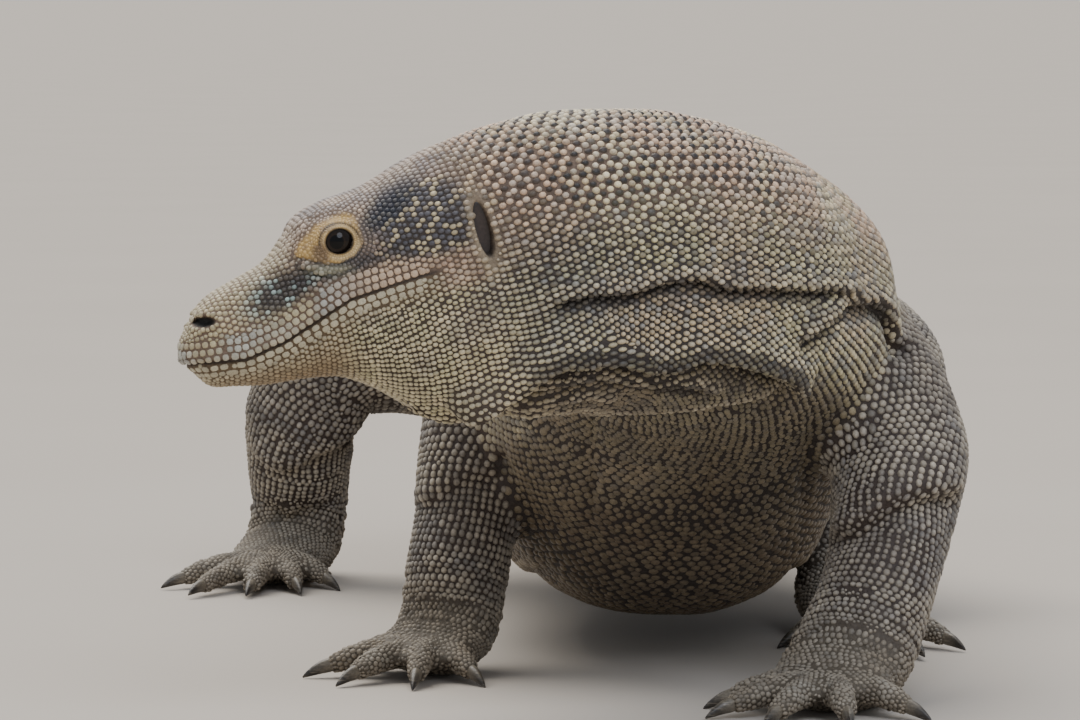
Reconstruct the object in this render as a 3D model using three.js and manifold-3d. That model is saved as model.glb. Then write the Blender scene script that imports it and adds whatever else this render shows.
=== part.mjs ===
// A Komodo dragon (Varanus komodoensis), whole and life size, standing still with its head
// turned to its own right and its left fore foot and left hind foot set forward.
// Millimetres, +Z up. The animal faces -Y and its right side is towards -X.
// Each length of flesh is a loft of closed rings along a centre line; the lengths of one
// centre line are parted by thin cuts, and each leg is cut back to the trunk it grows from.
import * as THREE from "three";
import { LoftGeometry } from "three/addons/geometries/LoftGeometry.js";
import { mergeVertices } from "three/addons/utils/BufferGeometryUtils.js";
import Module from "manifold-3d";

const wasm = await Module();
wasm.setup();

// ---- driving dimensions ----------------------------------------------------------------
const GAP = 0.3; // clear space between pieces that touch
const ORIGIN = new THREE.Vector3(6, 783, 0); // floor point under the middle of the whole animal

const HEAD_TURN = THREE.MathUtils.degToRad(12); // how far the face points forward of due right
const HEAD_PITCH = THREE.MathUtils.degToRad(16); // nose down
const EAR_CENTRE = new THREE.Vector3(-43, -143, 275.6); // midway between the two ears
const EYE_ALONG = 73.3; // eye ahead of the ear, along the head
const EYE_HEIGHT = 15.2; // eye above the line through the ears
const EYE_OUT = 30; // eyeball centre from the middle of the head
const EYE_RADIUS = 9.5;
const EAR_ALONG = -2;
const EAR_TALL = 31; // the ear opening, a slanting slit
const EAR_WIDE = 9;
const EAR_LEAN = THREE.MathUtils.degToRad(3); // top edge tipped forward of upright
const EAR_OUT = 54; // ear opening from the middle of the head
const EARDRUM_DEPTH = 5.5; // the drum lies this far inside the opening
const EARDRUM_THICK = 2.4;

const SPINE_SIDES = 20;
const LEG_SIDES = 12;
const DIGIT_SIDES = 7;
const CLAW_SIDES = 5;

// ---- frames and rings ------------------------------------------------------------------
const UP = new THREE.Vector3(0, 0, 1);
const point = (x, y, z) => new THREE.Vector3(x, y, z);

// The head's own axes: forward through the snout, up through the crown, and its left side.
const headForward = point(
  -Math.cos(HEAD_TURN) * Math.cos(HEAD_PITCH),
  -Math.sin(HEAD_TURN) * Math.cos(HEAD_PITCH),
  -Math.sin(HEAD_PITCH),
);
const headLeft = UP.clone().cross(headForward).normalize();
const headUp = headForward.clone().cross(headLeft);

function inHead(along, out, height) {
  return EAR_CENTRE.clone()
    .addScaledVector(headForward, along)
    .addScaledVector(headLeft, out)
    .addScaledVector(headUp, height);
}

// A power that keeps the sign, which squares an ellipse as the power falls below 1.
const signedPower = (value, power) => Math.sign(value) * Math.abs(value) ** power;

// Rings that stand square to their line, and whose side direction is level.
const followLine = (along) => along;
const levelSide = (along) => UP.clone().cross(along).normalize();

// A closed centre line with its ring sizes. Each station is
// [x, y, z, half width, height above the line, depth below it, squareness].
class BodyLine {
  constructor(stations, sides, { sideHint = levelSide, facing = followLine } = {}) {
    this.places = new THREE.CatmullRomCurve3(stations.map((s) => point(s[0], s[1], s[2])));
    this.places.curveType = "catmullrom";
    this.sizes = new THREE.CatmullRomCurve3(stations.map((s) => point(s[3], s[4], s[5])));
    this.sizes.curveType = "catmullrom";
    this.squareness = stations.map((s) => s[6] ?? 1);
    this.spans = stations.length - 1;
    this.sides = sides;
    this.sideHint = sideHint;
    this.facing = facing;
  }

  // The ring at a station number, which may lie between two stations.
  ring(station, grow = 0) {
    const t = station / this.spans;
    const centre = this.places.getPoint(t);
    const along = this.facing(this.places.getTangent(t), station);
    const size = this.sizes.getPoint(t);
    const before = Math.min(Math.floor(station), this.spans - 1);
    const power = THREE.MathUtils.lerp(
      this.squareness[before],
      this.squareness[before + 1],
      station - before,
    );
    const side = this.sideHint(along, station);
    side.addScaledVector(along, -along.dot(side)).normalize();
    const roof = along.clone().cross(side);
    const ring = [];
    for (let i = 0; i < this.sides; i++) {
      const angle = (i / this.sides) * 2 * Math.PI;
      const across = signedPower(Math.cos(angle), power) * (size.x + grow);
      const reach = Math.sin(angle) > 0 ? size.y : size.z;
      const rise = signedPower(Math.sin(angle), power) * (reach + grow);
      ring.push(centre.clone().addScaledVector(side, across).addScaledVector(roof, rise));
    }
    return ring;
  }

  // The solid from one station number to another, cut short at each end by a share of the gap.
  length(from, to, rings, { grow = 0, trimStart = 0, trimEnd = 0 } = {}) {
    const first = from + trimStart / this.speed(from);
    const last = to - trimEnd / this.speed(to);
    const sections = [];
    for (let i = 0; i <= rings; i++) {
      sections.push(this.ring(THREE.MathUtils.lerp(first, last, i / rings), grow));
    }
    return solidOf(new LoftGeometry(sections, { capStart: true, capEnd: true }));
  }

  // Millimetres travelled along the line for each station number.
  speed(station) {
    const step = 0.01;
    const a = Math.max(0, station - step);
    const b = Math.min(this.spans, station + step);
    const there = this.places.getPoint(b / this.spans);
    return there.distanceTo(this.places.getPoint(a / this.spans)) / (b - a);
  }
}

// ---- solids ----------------------------------------------------------------------------
function solidOf(geometry) {
  const bare = new THREE.BufferGeometry();
  bare.setAttribute("position", geometry.getAttribute("position"));
  bare.setIndex(geometry.index);
  const merged = mergeVertices(bare, 1e-4);
  return new wasm.Manifold(
    new wasm.Mesh({
      numProp: 3,
      vertProperties: merged.attributes.position.array,
      triVerts: new Uint32Array(merged.index.array),
    }),
  );
}

function geometryOf(solid) {
  const mesh = solid.getMesh();
  const geometry = new THREE.BufferGeometry();
  geometry.setAttribute("position", new THREE.BufferAttribute(mesh.vertProperties, 3));
  geometry.setIndex(new THREE.BufferAttribute(mesh.triVerts, 1));
  geometry.computeVertexNormals();
  return geometry;
}

// A block of ground whose top is the floor: what would reach lower is cut to a flat.
const ground = solidOf(new THREE.BoxGeometry(4000, 6000, 400).translate(0, 0, -200));
const onFloor = (solid) => solid.subtract(ground);

// ---- the line of the body, from the tip of the tail to the tip of the snout -------------
const headStation = (along, top, bottom, halfWidth, squareness) => {
  const centre = inHead(along, 0, (top + bottom) / 2);
  const half = (top - bottom) / 2;
  return [centre.x, centre.y, centre.z, halfWidth, half, half, squareness];
};

const SPINE = [
  // tail, laid on the floor in a slow S
  [112, 1765, 3.2, 3.4, 4, 4.2, 1],
  [98, 1690, 7, 7, 9, 8.5, 1],
  [66, 1560, 13, 12, 16, 14, 1],
  [40, 1400, 20, 18, 24, 21, 1],
  [46, 1240, 30, 26, 33, 31, 0.95],
  [78, 1090, 44, 36, 44, 45, 0.95],
  [94, 960, 66, 48, 54, 56, 0.95],
  [86, 850, 96, 60, 62, 66, 0.92],
  // hips and trunk
  [72, 745, 130, 74, 72, 80, 0.92],
  [64, 640, 156, 94, 92, 100, 0.92],
  [63, 530, 160, 106, 112, 124, 0.92],
  [66, 410, 160, 119, 124, 139, 0.92],
  [70, 290, 164, 131, 128, 147, 0.9],
  [76, 180, 180, 127, 125, 156, 0.9],
  [83, 90, 205, 124, 108, 132, 0.92],
  // neck, bending to the right
  [89, 15, 224, 117, 96, 97, 0.94],
  [79, -54, 246, 90, 86, 88, 0.94],
  [48, -100, 256, 78, 84, 85, 0.95],
  [8, -128, 257, 69, 81, 84, 0.95],
  // head
  headStation(0, 47.5, -111, 57, 0.9),
  headStation(22, 44.5, -107, 54, 0.88),
  headStation(42, 39, -98, 50, 0.86),
  headStation(57, 36.5, -86, 46, 0.84),
  headStation(71, 35, -72, 42.5, 0.82),
  headStation(86, 31, -61, 38, 0.82),
  headStation(98, 22.5, -57, 34.5, 0.82),
  headStation(112, 13.5, -54.5, 31, 0.82),
  headStation(130, 9, -52, 28, 0.82),
  headStation(146, 4.3, -48, 25, 0.84),
  headStation(158, -5.5, -44.5, 21, 0.88),
  headStation(165, -12, -36, 14.5, 0.95),
  headStation(169.5, -17, -26, 6, 1),
];
const NECK_AT = 14.4; // station numbers of the cuts
const HEAD_AT = 18.6;
const SNOUT_AT = SPINE.length - 1;

// The rings of the head all stand square to the head's own axis.
const spine = new BodyLine(SPINE, SPINE_SIDES, {
  facing: (along, station) =>
    along.lerp(headForward, THREE.MathUtils.smoothstep(station, HEAD_AT - 1.6, HEAD_AT + 1)).normalize(),
});

// Name, first and last station number, and how many rings the length has.
const SPINE_LENGTHS = [
  ["tail_tip", 0, 2, 5],
  ["tail_end", 2, 4, 5],
  ["tail_middle", 4, 6, 6],
  ["tail_root", 6, 8.4, 6],
  ["trunk_hips", 8.4, 10.5, 6],
  ["trunk_belly", 10.5, 12.5, 5],
  ["trunk_shoulders", 12.5, NECK_AT, 5],
  ["neck_base", NECK_AT, 16.7, 6],
  ["neck_throat", 16.7, HEAD_AT, 7],
];

// A length of the body. Grown, as a cutter, it also runs a little past its two ends.
const spineLength = (name, grow = 0) => {
  const [, from, to, rings] = SPINE_LENGTHS.find((length) => length[0] === name);
  const trim = grow > 0 ? -2 * GAP : GAP;
  const trimStart = from === 0 ? 0 : trim;
  return spine.length(from, to, rings, { grow, trimStart, trimEnd: trim });
};

// ---- head: mouth, eyes and ears ----------------------------------------------------------
// The mouth line in the head's side view, [along, height], from past the snout to the corner.
const MOUTH = [
  [190, -28],
  [162, -28.5],
  [138, -33],
  [116, -29.7],
  [100, -24.5],
  [77, -16.8],
  [50, -15.2],
  [28, -14.5],
];
const JAW_BACK = [
  [12, -40],
  [16, -140],
];

// The space below the mouth line, as a slab right across the head.
function jawSpace(shift) {
  const outline = new THREE.Shape();
  const corners = [...MOUTH, ...JAW_BACK].map(([along, height], i) => {
    const back = i >= MOUTH.length - 1 ? shift : 0;
    return [along - back, height + (i < MOUTH.length ? shift : 0)];
  });
  outline.moveTo(...corners[0]);
  corners.slice(1).forEach((corner) => outline.lineTo(...corner));
  outline.lineTo(190, -140);
  outline.closePath();
  const slab = new THREE.ExtrudeGeometry(outline, { depth: 240, bevelEnabled: false });
  slab.translate(0, 0, -120);
  // the slab's own axes become the head's forward, up and right
  const right = headLeft.clone().negate();
  slab.applyMatrix4(new THREE.Matrix4().makeBasis(headForward, headUp, right));
  slab.translate(EAR_CENTRE.x, EAR_CENTRE.y, EAR_CENTRE.z);
  return solidOf(slab);
}

function eyeball(side, radius) {
  const ball = new THREE.SphereGeometry(radius, 12, 7);
  const centre = inHead(EYE_ALONG, side * EYE_OUT, EYE_HEIGHT);
  return ball.translate(centre.x, centre.y, centre.z);
}

// A lens across the head's side at the ear, as wide and tall as the opening.
function earLens(side, depth, grow) {
  const lens = new THREE.SphereGeometry(1, 10, 6);
  lens.scale(EAR_WIDE / 2 + grow, EAR_TALL / 2 + grow, depth);
  lens.rotateZ(-EAR_LEAN);
  const right = headLeft.clone().multiplyScalar(-1);
  lens.applyMatrix4(new THREE.Matrix4().makeBasis(headForward, headUp, right));
  const centre = inHead(EAR_ALONG, side * (EAR_OUT - EARDRUM_DEPTH), 0);
  return lens.translate(centre.x, centre.y, centre.z);
}

function headPieces() {
  let flesh = spine.length(HEAD_AT, SNOUT_AT, 18, { trimStart: GAP });
  const found = [];
  for (const [label, side] of [["left", 1], ["right", -1]]) {
    const ear = earLens(side, EARDRUM_THICK / 2, 0);
    flesh = flesh.subtract(solidOf(eyeball(side, EYE_RADIUS + GAP)));
    flesh = flesh.subtract(solidOf(earLens(side, EARDRUM_DEPTH + EARDRUM_THICK, GAP)));
    found.push([`eye_${label}`, eyeball(side, EYE_RADIUS), EYE_FINISH]);
    found.push([`eardrum_${label}`, ear, EARDRUM_FINISH]);
  }
  found.push(["head", geometryOf(flesh.subtract(jawSpace(GAP / 2))), SKIN_FINISH]);
  found.push(["lower_jaw", geometryOf(flesh.intersect(jawSpace(-GAP / 2))), SKIN_FINISH]);
  return found;
}

// ---- legs ----------------------------------------------------------------------------------
// Each leg runs from inside the trunk to the end of its palm or sole. toes lists the digits
// from the innermost, as [direction in degrees from +X, length without the claw].
const LEGS = [
  {
    name: "fore_left",
    parts: ["upper_arm", "forearm", "hand"],
    stations: [
      [116, 102, 226, 58, 58, 58],
      [147, 86, 211, 53, 53, 55],
      [183, 54, 176, 45, 46, 52],
      [203, 18, 138, 40, 38, 46],
      [203, -8, 104, 36, 36, 38],
      [196, -28, 72, 34, 33, 34],
      [186, -46, 45, 35, 28, 30],
      [174, -66, 25, 38, 20, 28],
      [163, -90, 15, 39, 14, 18],
      [158, -104, 10, 31, 8, 12],
    ],
    cuts: [3.1, 6.2],
    toes: [[172, 30], [207, 38], [241, 42], [276, 38], [320, 30]],
    spread: 25,
    from: ["trunk_shoulders", "neck_base", "trunk_belly"],
  },
  {
    name: "fore_right",
    parts: ["upper_arm", "forearm", "hand"],
    stations: [
      [48, 128, 220, 56, 56, 56],
      [12, 130, 206, 52, 52, 54],
      [-18, 130, 180, 44, 44, 50],
      [-35, 122, 150, 38, 36, 44],
      [-41, 112, 117, 33, 34, 36],
      [-45, 102, 84, 31, 31, 32],
      [-50, 94, 54, 32, 28, 30],
      [-56, 84, 29, 35, 20, 27],
      [-66, 70, 15, 38, 14, 18],
      [-75, 60, 10, 30, 8, 12],
    ],
    cuts: [3.1, 6.2],
    toes: [[300, 28], [264, 36], [229, 40], [194, 36], [154, 28]],
    spread: 24,
    from: ["trunk_shoulders", "neck_base", "trunk_belly"],
  },
  {
    name: "hind_left",
    parts: ["thigh", "shin", "foot"],
    stations: [
      [96, 612, 168, 72, 72, 72],
      [140, 568, 168, 66, 66, 66],
      [190, 500, 168, 54, 54, 54],
      [224, 446, 154, 42, 44, 38],
      [228, 408, 124, 38, 42, 32],
      [216, 366, 84, 35, 37, 33],
      [201, 324, 50, 33, 28, 32],
      [195, 286, 26, 34, 20, 28],
      [202, 240, 15, 35, 14, 18],
      [208, 216, 10, 28, 8, 12],
    ],
    cuts: [3.3, 6.2],
    toes: [[220, 28], [246, 44], [266, 58], [286, 68], [312, 44]],
    spread: 28,
    from: ["trunk_hips", "trunk_belly", "tail_root"],
  },
  {
    name: "hind_right",
    parts: ["thigh", "shin", "foot"],
    stations: [
      [32, 624, 166, 72, 72, 72],
      [-24, 606, 166, 64, 66, 66],
      [-84, 584, 166, 54, 54, 54],
      [-136, 566, 154, 44, 46, 38],
      [-160, 573, 120, 40, 42, 34],
      [-166, 594, 84, 37, 38, 35],
      [-167, 606, 52, 35, 30, 33],
      [-171, 594, 27, 35, 21, 28],
      [-182, 562, 15, 35, 14, 18],
      [-187, 540, 10, 28, 8, 12],
    ],
    cuts: [3.3, 6.3],
    toes: [[310, 28], [284, 44], [262, 60], [243, 72], [214, 46]],
    spread: 28,
    from: ["trunk_hips", "trunk_belly", "tail_root"],
  },
];

// A leg's ring side: square to the plane of its bend above the wrist, and level in the foot.
function legSide(leg) {
  const places = leg.stations.map(([x, y, z]) => point(x, y, z));
  const [elbow, wrist] = leg.cuts.map(Math.floor);
  const end = places.length - 1;
  const upper = places[elbow].clone().sub(places[0]);
  const lower = places[wrist].clone().sub(places[elbow]);
  const level = levelSide(places[end].clone().sub(places[end - 1]));
  const bend = upper.cross(lower).normalize();
  bend.multiplyScalar(Math.sign(bend.dot(level)) || 1);
  return (along, station) => {
    const share = THREE.MathUtils.smoothstep(station, elbow, wrist);
    return bend.clone().lerp(level, share);
  };
}

const PALM_HEIGHT = 13; // where the digits leave the palm, above the floor
const KNUCKLE_HEIGHT = 15; // the digit's arch
const TIP_HEIGHT = 7.5;
const DIGIT_THICK = [10.5, 9.5, 8.2, 6.2]; // half thickness from palm to tip
const CLAW_LONG = 17;
const CLAW_HOOK = 1.5; // how far the claw's point lies below its straight line
const CLAW_THICK = 4.6; // half thickness at the root

// One digit of a leg: its line out from the palm, and the claw at its end.
function digit(palm, spread, [direction, long]) {
  const angle = THREE.MathUtils.degToRad(direction);
  const out = point(Math.cos(angle), Math.sin(angle), 0);
  const at = (distance, height) =>
    point(palm.x, palm.y, height).addScaledVector(out, distance);
  const [root, mid, fore, end] = DIGIT_THICK;
  const station = (place, half) => [place.x, place.y, place.z, half, half, half, 0.95];
  const line = new BodyLine(
    [
      station(at(spread * 0.2, PALM_HEIGHT), root),
      station(at(spread * 0.6 + long * 0.35, KNUCKLE_HEIGHT), mid),
      station(at(spread * 0.85 + long * 0.7, PALM_HEIGHT - 1), fore),
      station(at(spread + long, TIP_HEIGHT), end),
    ],
    DIGIT_SIDES,
  );
  // the claw goes on in the digit's own direction, then hooks down to the floor
  const forth = line.places.getTangent(1);
  const clawAt = (share, drop, half) => {
    const place = at(spread + long, TIP_HEIGHT).addScaledVector(forth, GAP + share * CLAW_LONG);
    return station(place.setZ(place.z - drop), half * CLAW_THICK);
  };
  const claw = new BodyLine(
    [clawAt(0, 0, 1), clawAt(0.4, 0, 0.8), clawAt(0.75, CLAW_HOOK / 3, 0.5), clawAt(1, CLAW_HOOK, 0.12)],
    CLAW_SIDES,
  );
  return { flesh: line.length(0, 3, 4), claw: claw.length(0, 3, 3) };
}

function legPieces(leg) {
  const line = new BodyLine(leg.stations, LEG_SIDES, { sideHint: legSide(leg) });
  const end = leg.stations.length - 1;
  const [elbow, wrist] = leg.cuts;
  let upper = line.length(0, elbow, 6, { trimEnd: GAP / 2 });
  let lower = line.length(elbow, wrist, 6, { trimStart: GAP / 2, trimEnd: GAP / 2 });
  for (const name of leg.from) {
    const trunk = spineLength(name, GAP);
    upper = upper.subtract(trunk);
    lower = lower.subtract(trunk);
  }
  let hand = line.length(wrist, end, 6, { trimStart: GAP / 2 });
  const [x, y] = leg.stations[end - 1];
  const digits = leg.toes.map((toe) => digit(point(x, y, 0), leg.spread, toe));
  for (const each of digits) hand = hand.add(each.flesh);
  const [upperName, lowerName, handName] = leg.parts;
  const found = [
    [`${upperName}_${leg.name}`, geometryOf(upper), SKIN_FINISH],
    [`${lowerName}_${leg.name}`, geometryOf(lower), SKIN_FINISH],
    [`${handName}_${leg.name}`, geometryOf(onFloor(hand)), SKIN_FINISH],
  ];
  digits.forEach((each, i) => {
    const claw = geometryOf(onFloor(each.claw));
    found.push([`claw_${leg.name}_${i + 1}`, claw, CLAW_FINISH]);
  });
  return found;
}

// ---- finishes and assembly -----------------------------------------------------------------
const SKIN_FINISH = { color: 0x8d8571, roughness: 0.75, metalness: 0 };
const EYE_FINISH = { color: 0x14161c, roughness: 0.08, metalness: 0 };
const EARDRUM_FINISH = { color: 0x2a2622, roughness: 0.7, metalness: 0 };
const CLAW_FINISH = { color: 0x4a463f, roughness: 0.45, metalness: 0 };

const body = new THREE.Group();
body.position.copy(ORIGIN).negate();

function place([name, geometry, finish]) {
  const mesh = new THREE.Mesh(geometry, new THREE.MeshStandardMaterial(finish));
  mesh.name = name;
  body.add(mesh);
}

for (const [name] of SPINE_LENGTHS) {
  place([name, geometryOf(onFloor(spineLength(name))), SKIN_FINISH]);
}
headPieces().forEach(place);
LEGS.flatMap(legPieces).forEach(place);

const group = new THREE.Group();
group.add(body);
export default group;
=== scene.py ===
"""A Komodo dragon, whole and life size, as a still museum-type model.

The flesh nodes of the frame become one skin: joined, remeshed, drawn to the smooth cross-sections
of the body's own lines, and then given its folds, lids, nostrils and mouth by moving vertices.
Scales are small domes laid in rows over that skin. Metres, +Z up; the animal faces -Y.
"""
import math

import bmesh
import bpy
import numpy as np
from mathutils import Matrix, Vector, kdtree
from mathutils.bvhtree import BVHTree


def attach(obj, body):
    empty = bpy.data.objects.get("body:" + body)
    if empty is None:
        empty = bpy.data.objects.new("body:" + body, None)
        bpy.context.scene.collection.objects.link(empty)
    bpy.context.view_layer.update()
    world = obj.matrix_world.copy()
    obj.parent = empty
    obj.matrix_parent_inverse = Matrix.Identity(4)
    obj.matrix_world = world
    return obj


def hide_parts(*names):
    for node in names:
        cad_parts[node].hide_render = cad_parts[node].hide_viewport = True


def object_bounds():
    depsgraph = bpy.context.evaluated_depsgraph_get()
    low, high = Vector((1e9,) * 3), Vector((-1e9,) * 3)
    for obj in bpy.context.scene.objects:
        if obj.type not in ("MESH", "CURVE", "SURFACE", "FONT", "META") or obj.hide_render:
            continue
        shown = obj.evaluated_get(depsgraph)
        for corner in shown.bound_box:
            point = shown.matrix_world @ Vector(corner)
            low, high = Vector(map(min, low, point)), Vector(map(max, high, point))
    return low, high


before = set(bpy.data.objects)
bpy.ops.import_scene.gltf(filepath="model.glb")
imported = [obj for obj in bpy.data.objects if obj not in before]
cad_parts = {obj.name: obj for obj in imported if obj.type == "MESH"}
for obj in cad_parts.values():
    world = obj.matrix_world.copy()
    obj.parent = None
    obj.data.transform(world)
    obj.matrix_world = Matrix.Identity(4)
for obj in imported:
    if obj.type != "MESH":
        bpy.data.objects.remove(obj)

CAD_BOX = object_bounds()
RANDOM = np.random.default_rng(11)

# ---- the body's lines, in millimetres, as the solids have them -----------------------------------
MM = 0.001
ORIGIN = np.array([6.0, 783.0, 0.0])
HEAD_TURN = math.radians(12)
HEAD_PITCH = math.radians(16)
EAR_CENTRE = np.array([-43.0, -143.0, 275.6]) - ORIGIN
UP = np.array([0.0, 0.0, 1.0])
FORWARD = np.array([
    -math.cos(HEAD_TURN) * math.cos(HEAD_PITCH),
    -math.sin(HEAD_TURN) * math.cos(HEAD_PITCH),
    -math.sin(HEAD_PITCH),
])
LEFT = np.cross(UP, FORWARD) / np.linalg.norm(np.cross(UP, FORWARD))
CROWN = np.cross(FORWARD, LEFT)

COAT_DEPTH = 1.2     # how far the skin lies inside the solids
EYE = np.array([73.3, 30.0, 15.2])   # along the head, out to the side, height
EYE_RADIUS = 9.5
HEAD_AT = 18.6       # the station where the neck becomes the head


def unit(vectors):
    """Vectors of length one, for one vector or a row of them."""
    return vectors / np.maximum(np.linalg.norm(vectors, axis=-1, keepdims=True), 1e-9)


def dot(a, b):
    return np.sum(a * b, axis=-1)


def ease(value, low, high):
    """0 below low, 1 above high, and smooth between; low may be the greater."""
    t = np.clip((np.asarray(value, float) - low) / (high - low), 0, 1)
    return t * t * (3 - 2 * t)


def bell(value, width):
    return np.exp(-(value / width) ** 2)


def catmull(points, station):
    """A uniform Catmull-Rom curve and its slope at each station number."""
    padded = np.vstack([2 * points[0] - points[1], points, 2 * points[-1] - points[-2]])
    station = np.clip(station, 0, len(points) - 1)
    i = np.minimum(station.astype(int), len(points) - 2)
    u = (station - i)[:, None]
    a, b, c, d = (padded[i + k] for k in range(4))
    bend, twist = 2 * a - 5 * b + 4 * c - d, 3 * b - a - 3 * c + d
    place = 0.5 * (2 * b + (c - a) * u + bend * u**2 + twist * u**3)
    slope = 0.5 * ((c - a) + 2 * bend * u + 3 * twist * u**2)
    return place, slope


class BodyLine:
    """A centre line with a squared ellipse round it. Each station is
    [x, y, z, half width, height above, depth below, squareness]."""

    def __init__(self, stations, hint=None, facing=None):
        table = np.array([list(s) + [1.0] * (7 - len(s)) for s in stations], float)
        self.places = table[:, :3] - ORIGIN
        self.sizes = table[:, 3:6]
        self.power = table[:, 6]
        self.last = len(table) - 1
        self.hint = hint
        self.facing = facing
        self.probe = np.linspace(0, self.last, self.last * 8 + 1)
        self.probe_at = catmull(self.places, self.probe)[0]

    def frame(self, station):
        centre, slope = catmull(self.places, station)
        size = catmull(self.sizes, station)[0]
        along = unit(slope)
        if self.facing:
            along = self.facing(along, station)
        side = self.hint(along, station) if self.hint else np.cross(UP, along)
        side = unit(side - along * dot(along, side)[:, None])
        return centre, slope, along, side, np.cross(along, side), size

    def squareness(self, station):
        return np.interp(station, np.arange(self.last + 1), self.power)

    def surface(self, station, angle, grow=0.0):
        centre, _, _, side, roof, size = self.frame(station)
        power = self.squareness(station)
        c, s = np.cos(angle), np.sin(angle)
        across = np.sign(c) * np.abs(c) ** power * (size[:, 0] + grow)
        reach = np.where(s > 0, size[:, 1], size[:, 2]) + grow
        rise = np.sign(s) * np.abs(s) ** power * reach
        return centre + side * across[:, None] + roof * rise[:, None]

    def outward(self, station, angle):
        ds, da = 0.02, 0.02
        low, high = np.clip(station - ds, 0, self.last), np.clip(station + ds, 0, self.last)
        along = self.surface(high, angle) - self.surface(low, angle)
        around = self.surface(station, angle + da) - self.surface(station, angle - da)
        return unit(np.cross(along, around)) * -1.0

    def locate(self, points):
        """Station, angle, and gap from the surface (with any stretch past the line's ends)."""
        station = np.empty(len(points))
        for i in range(0, len(points), 20000):
            part = points[i:i + 20000]
            far = ((part[:, None, :] - self.probe_at[None]) ** 2).sum(-1)
            station[i:i + 20000] = self.probe[far.argmin(1)]
        for _ in range(8):
            centre, slope, along, _, _, _ = self.frame(station)
            step = dot(points - centre, along) / np.maximum(dot(slope, along), 1.0)
            station = np.clip(station + np.clip(step, -0.4, 0.4), 0, self.last)
        centre, _, along, side, roof, size = self.frame(station)
        offset = points - centre
        x, y = dot(offset, side), dot(offset, roof)
        reach = np.where(y > 0, size[:, 1], size[:, 2])
        power = 1 / self.squareness(station)
        angle = np.arctan2(
            np.sign(y) * (np.abs(y) / reach) ** power,
            np.sign(x) * (np.abs(x) / size[:, 0]) ** power,
        )
        own = np.linalg.norm(self.surface(station, angle) - centre, axis=1)
        gap = np.hypot(x, y) - own
        past = np.abs(dot(offset, along))
        gap = np.where(past > 0.5, np.hypot(np.maximum(gap, 0), past), gap)
        return station, angle, gap


def head_point(along, out, height):
    return EAR_CENTRE + FORWARD * along + LEFT * out + CROWN * height


def head_station(along, top, bottom, half_width, squareness):
    centre = head_point(along, 0, (top + bottom) / 2) + ORIGIN
    half = (top - bottom) / 2
    return [*centre, half_width, half, half, squareness]


def face_head(along, station):
    share = ease(station, HEAD_AT - 1.6, HEAD_AT + 1)[:, None]
    return unit(along * (1 - share) + FORWARD * share)


SPINE = BodyLine([
    # tail
    [112, 1765, 3.2, 3.4, 4, 4.2, 1],
    [98, 1690, 7, 7, 9, 8.5, 1],
    [66, 1560, 13, 12, 16, 14, 1],
    [40, 1400, 20, 18, 24, 21, 1],
    [46, 1240, 30, 26, 33, 31, 0.95],
    [78, 1090, 44, 36, 44, 45, 0.95],
    [94, 960, 66, 48, 54, 56, 0.95],
    [86, 850, 96, 60, 62, 66, 0.92],
    # hips and trunk
    [72, 745, 130, 74, 72, 80, 0.92],
    [64, 640, 156, 94, 92, 100, 0.92],
    [63, 530, 160, 106, 112, 124, 0.92],
    [66, 410, 160, 119, 124, 139, 0.92],
    [70, 290, 164, 131, 128, 147, 0.9],
    [76, 180, 180, 127, 125, 156, 0.9],
    [83, 90, 205, 124, 108, 132, 0.92],
    # neck
    [89, 15, 224, 117, 96, 97, 0.94],
    [79, -54, 246, 90, 86, 88, 0.94],
    [48, -100, 256, 78, 84, 85, 0.95],
    [8, -128, 257, 69, 81, 84, 0.95],
    # head
    head_station(0, 47.5, -111, 57, 0.9),
    head_station(22, 44.5, -107, 54, 0.88),
    head_station(42, 39, -98, 50, 0.86),
    head_station(57, 36.5, -86, 46, 0.84),
    head_station(71, 35, -72, 42.5, 0.82),
    head_station(86, 31, -61, 38, 0.82),
    head_station(98, 22.5, -57, 34.5, 0.82),
    head_station(112, 13.5, -54.5, 31, 0.82),
    head_station(130, 9, -52, 28, 0.82),
    head_station(146, 4.3, -48, 25, 0.84),
    head_station(158, -5.5, -44.5, 21, 0.88),
    head_station(165, -12, -36, 14.5, 0.95),
    head_station(169.5, -17, -26, 6, 1),
], facing=face_head)

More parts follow.
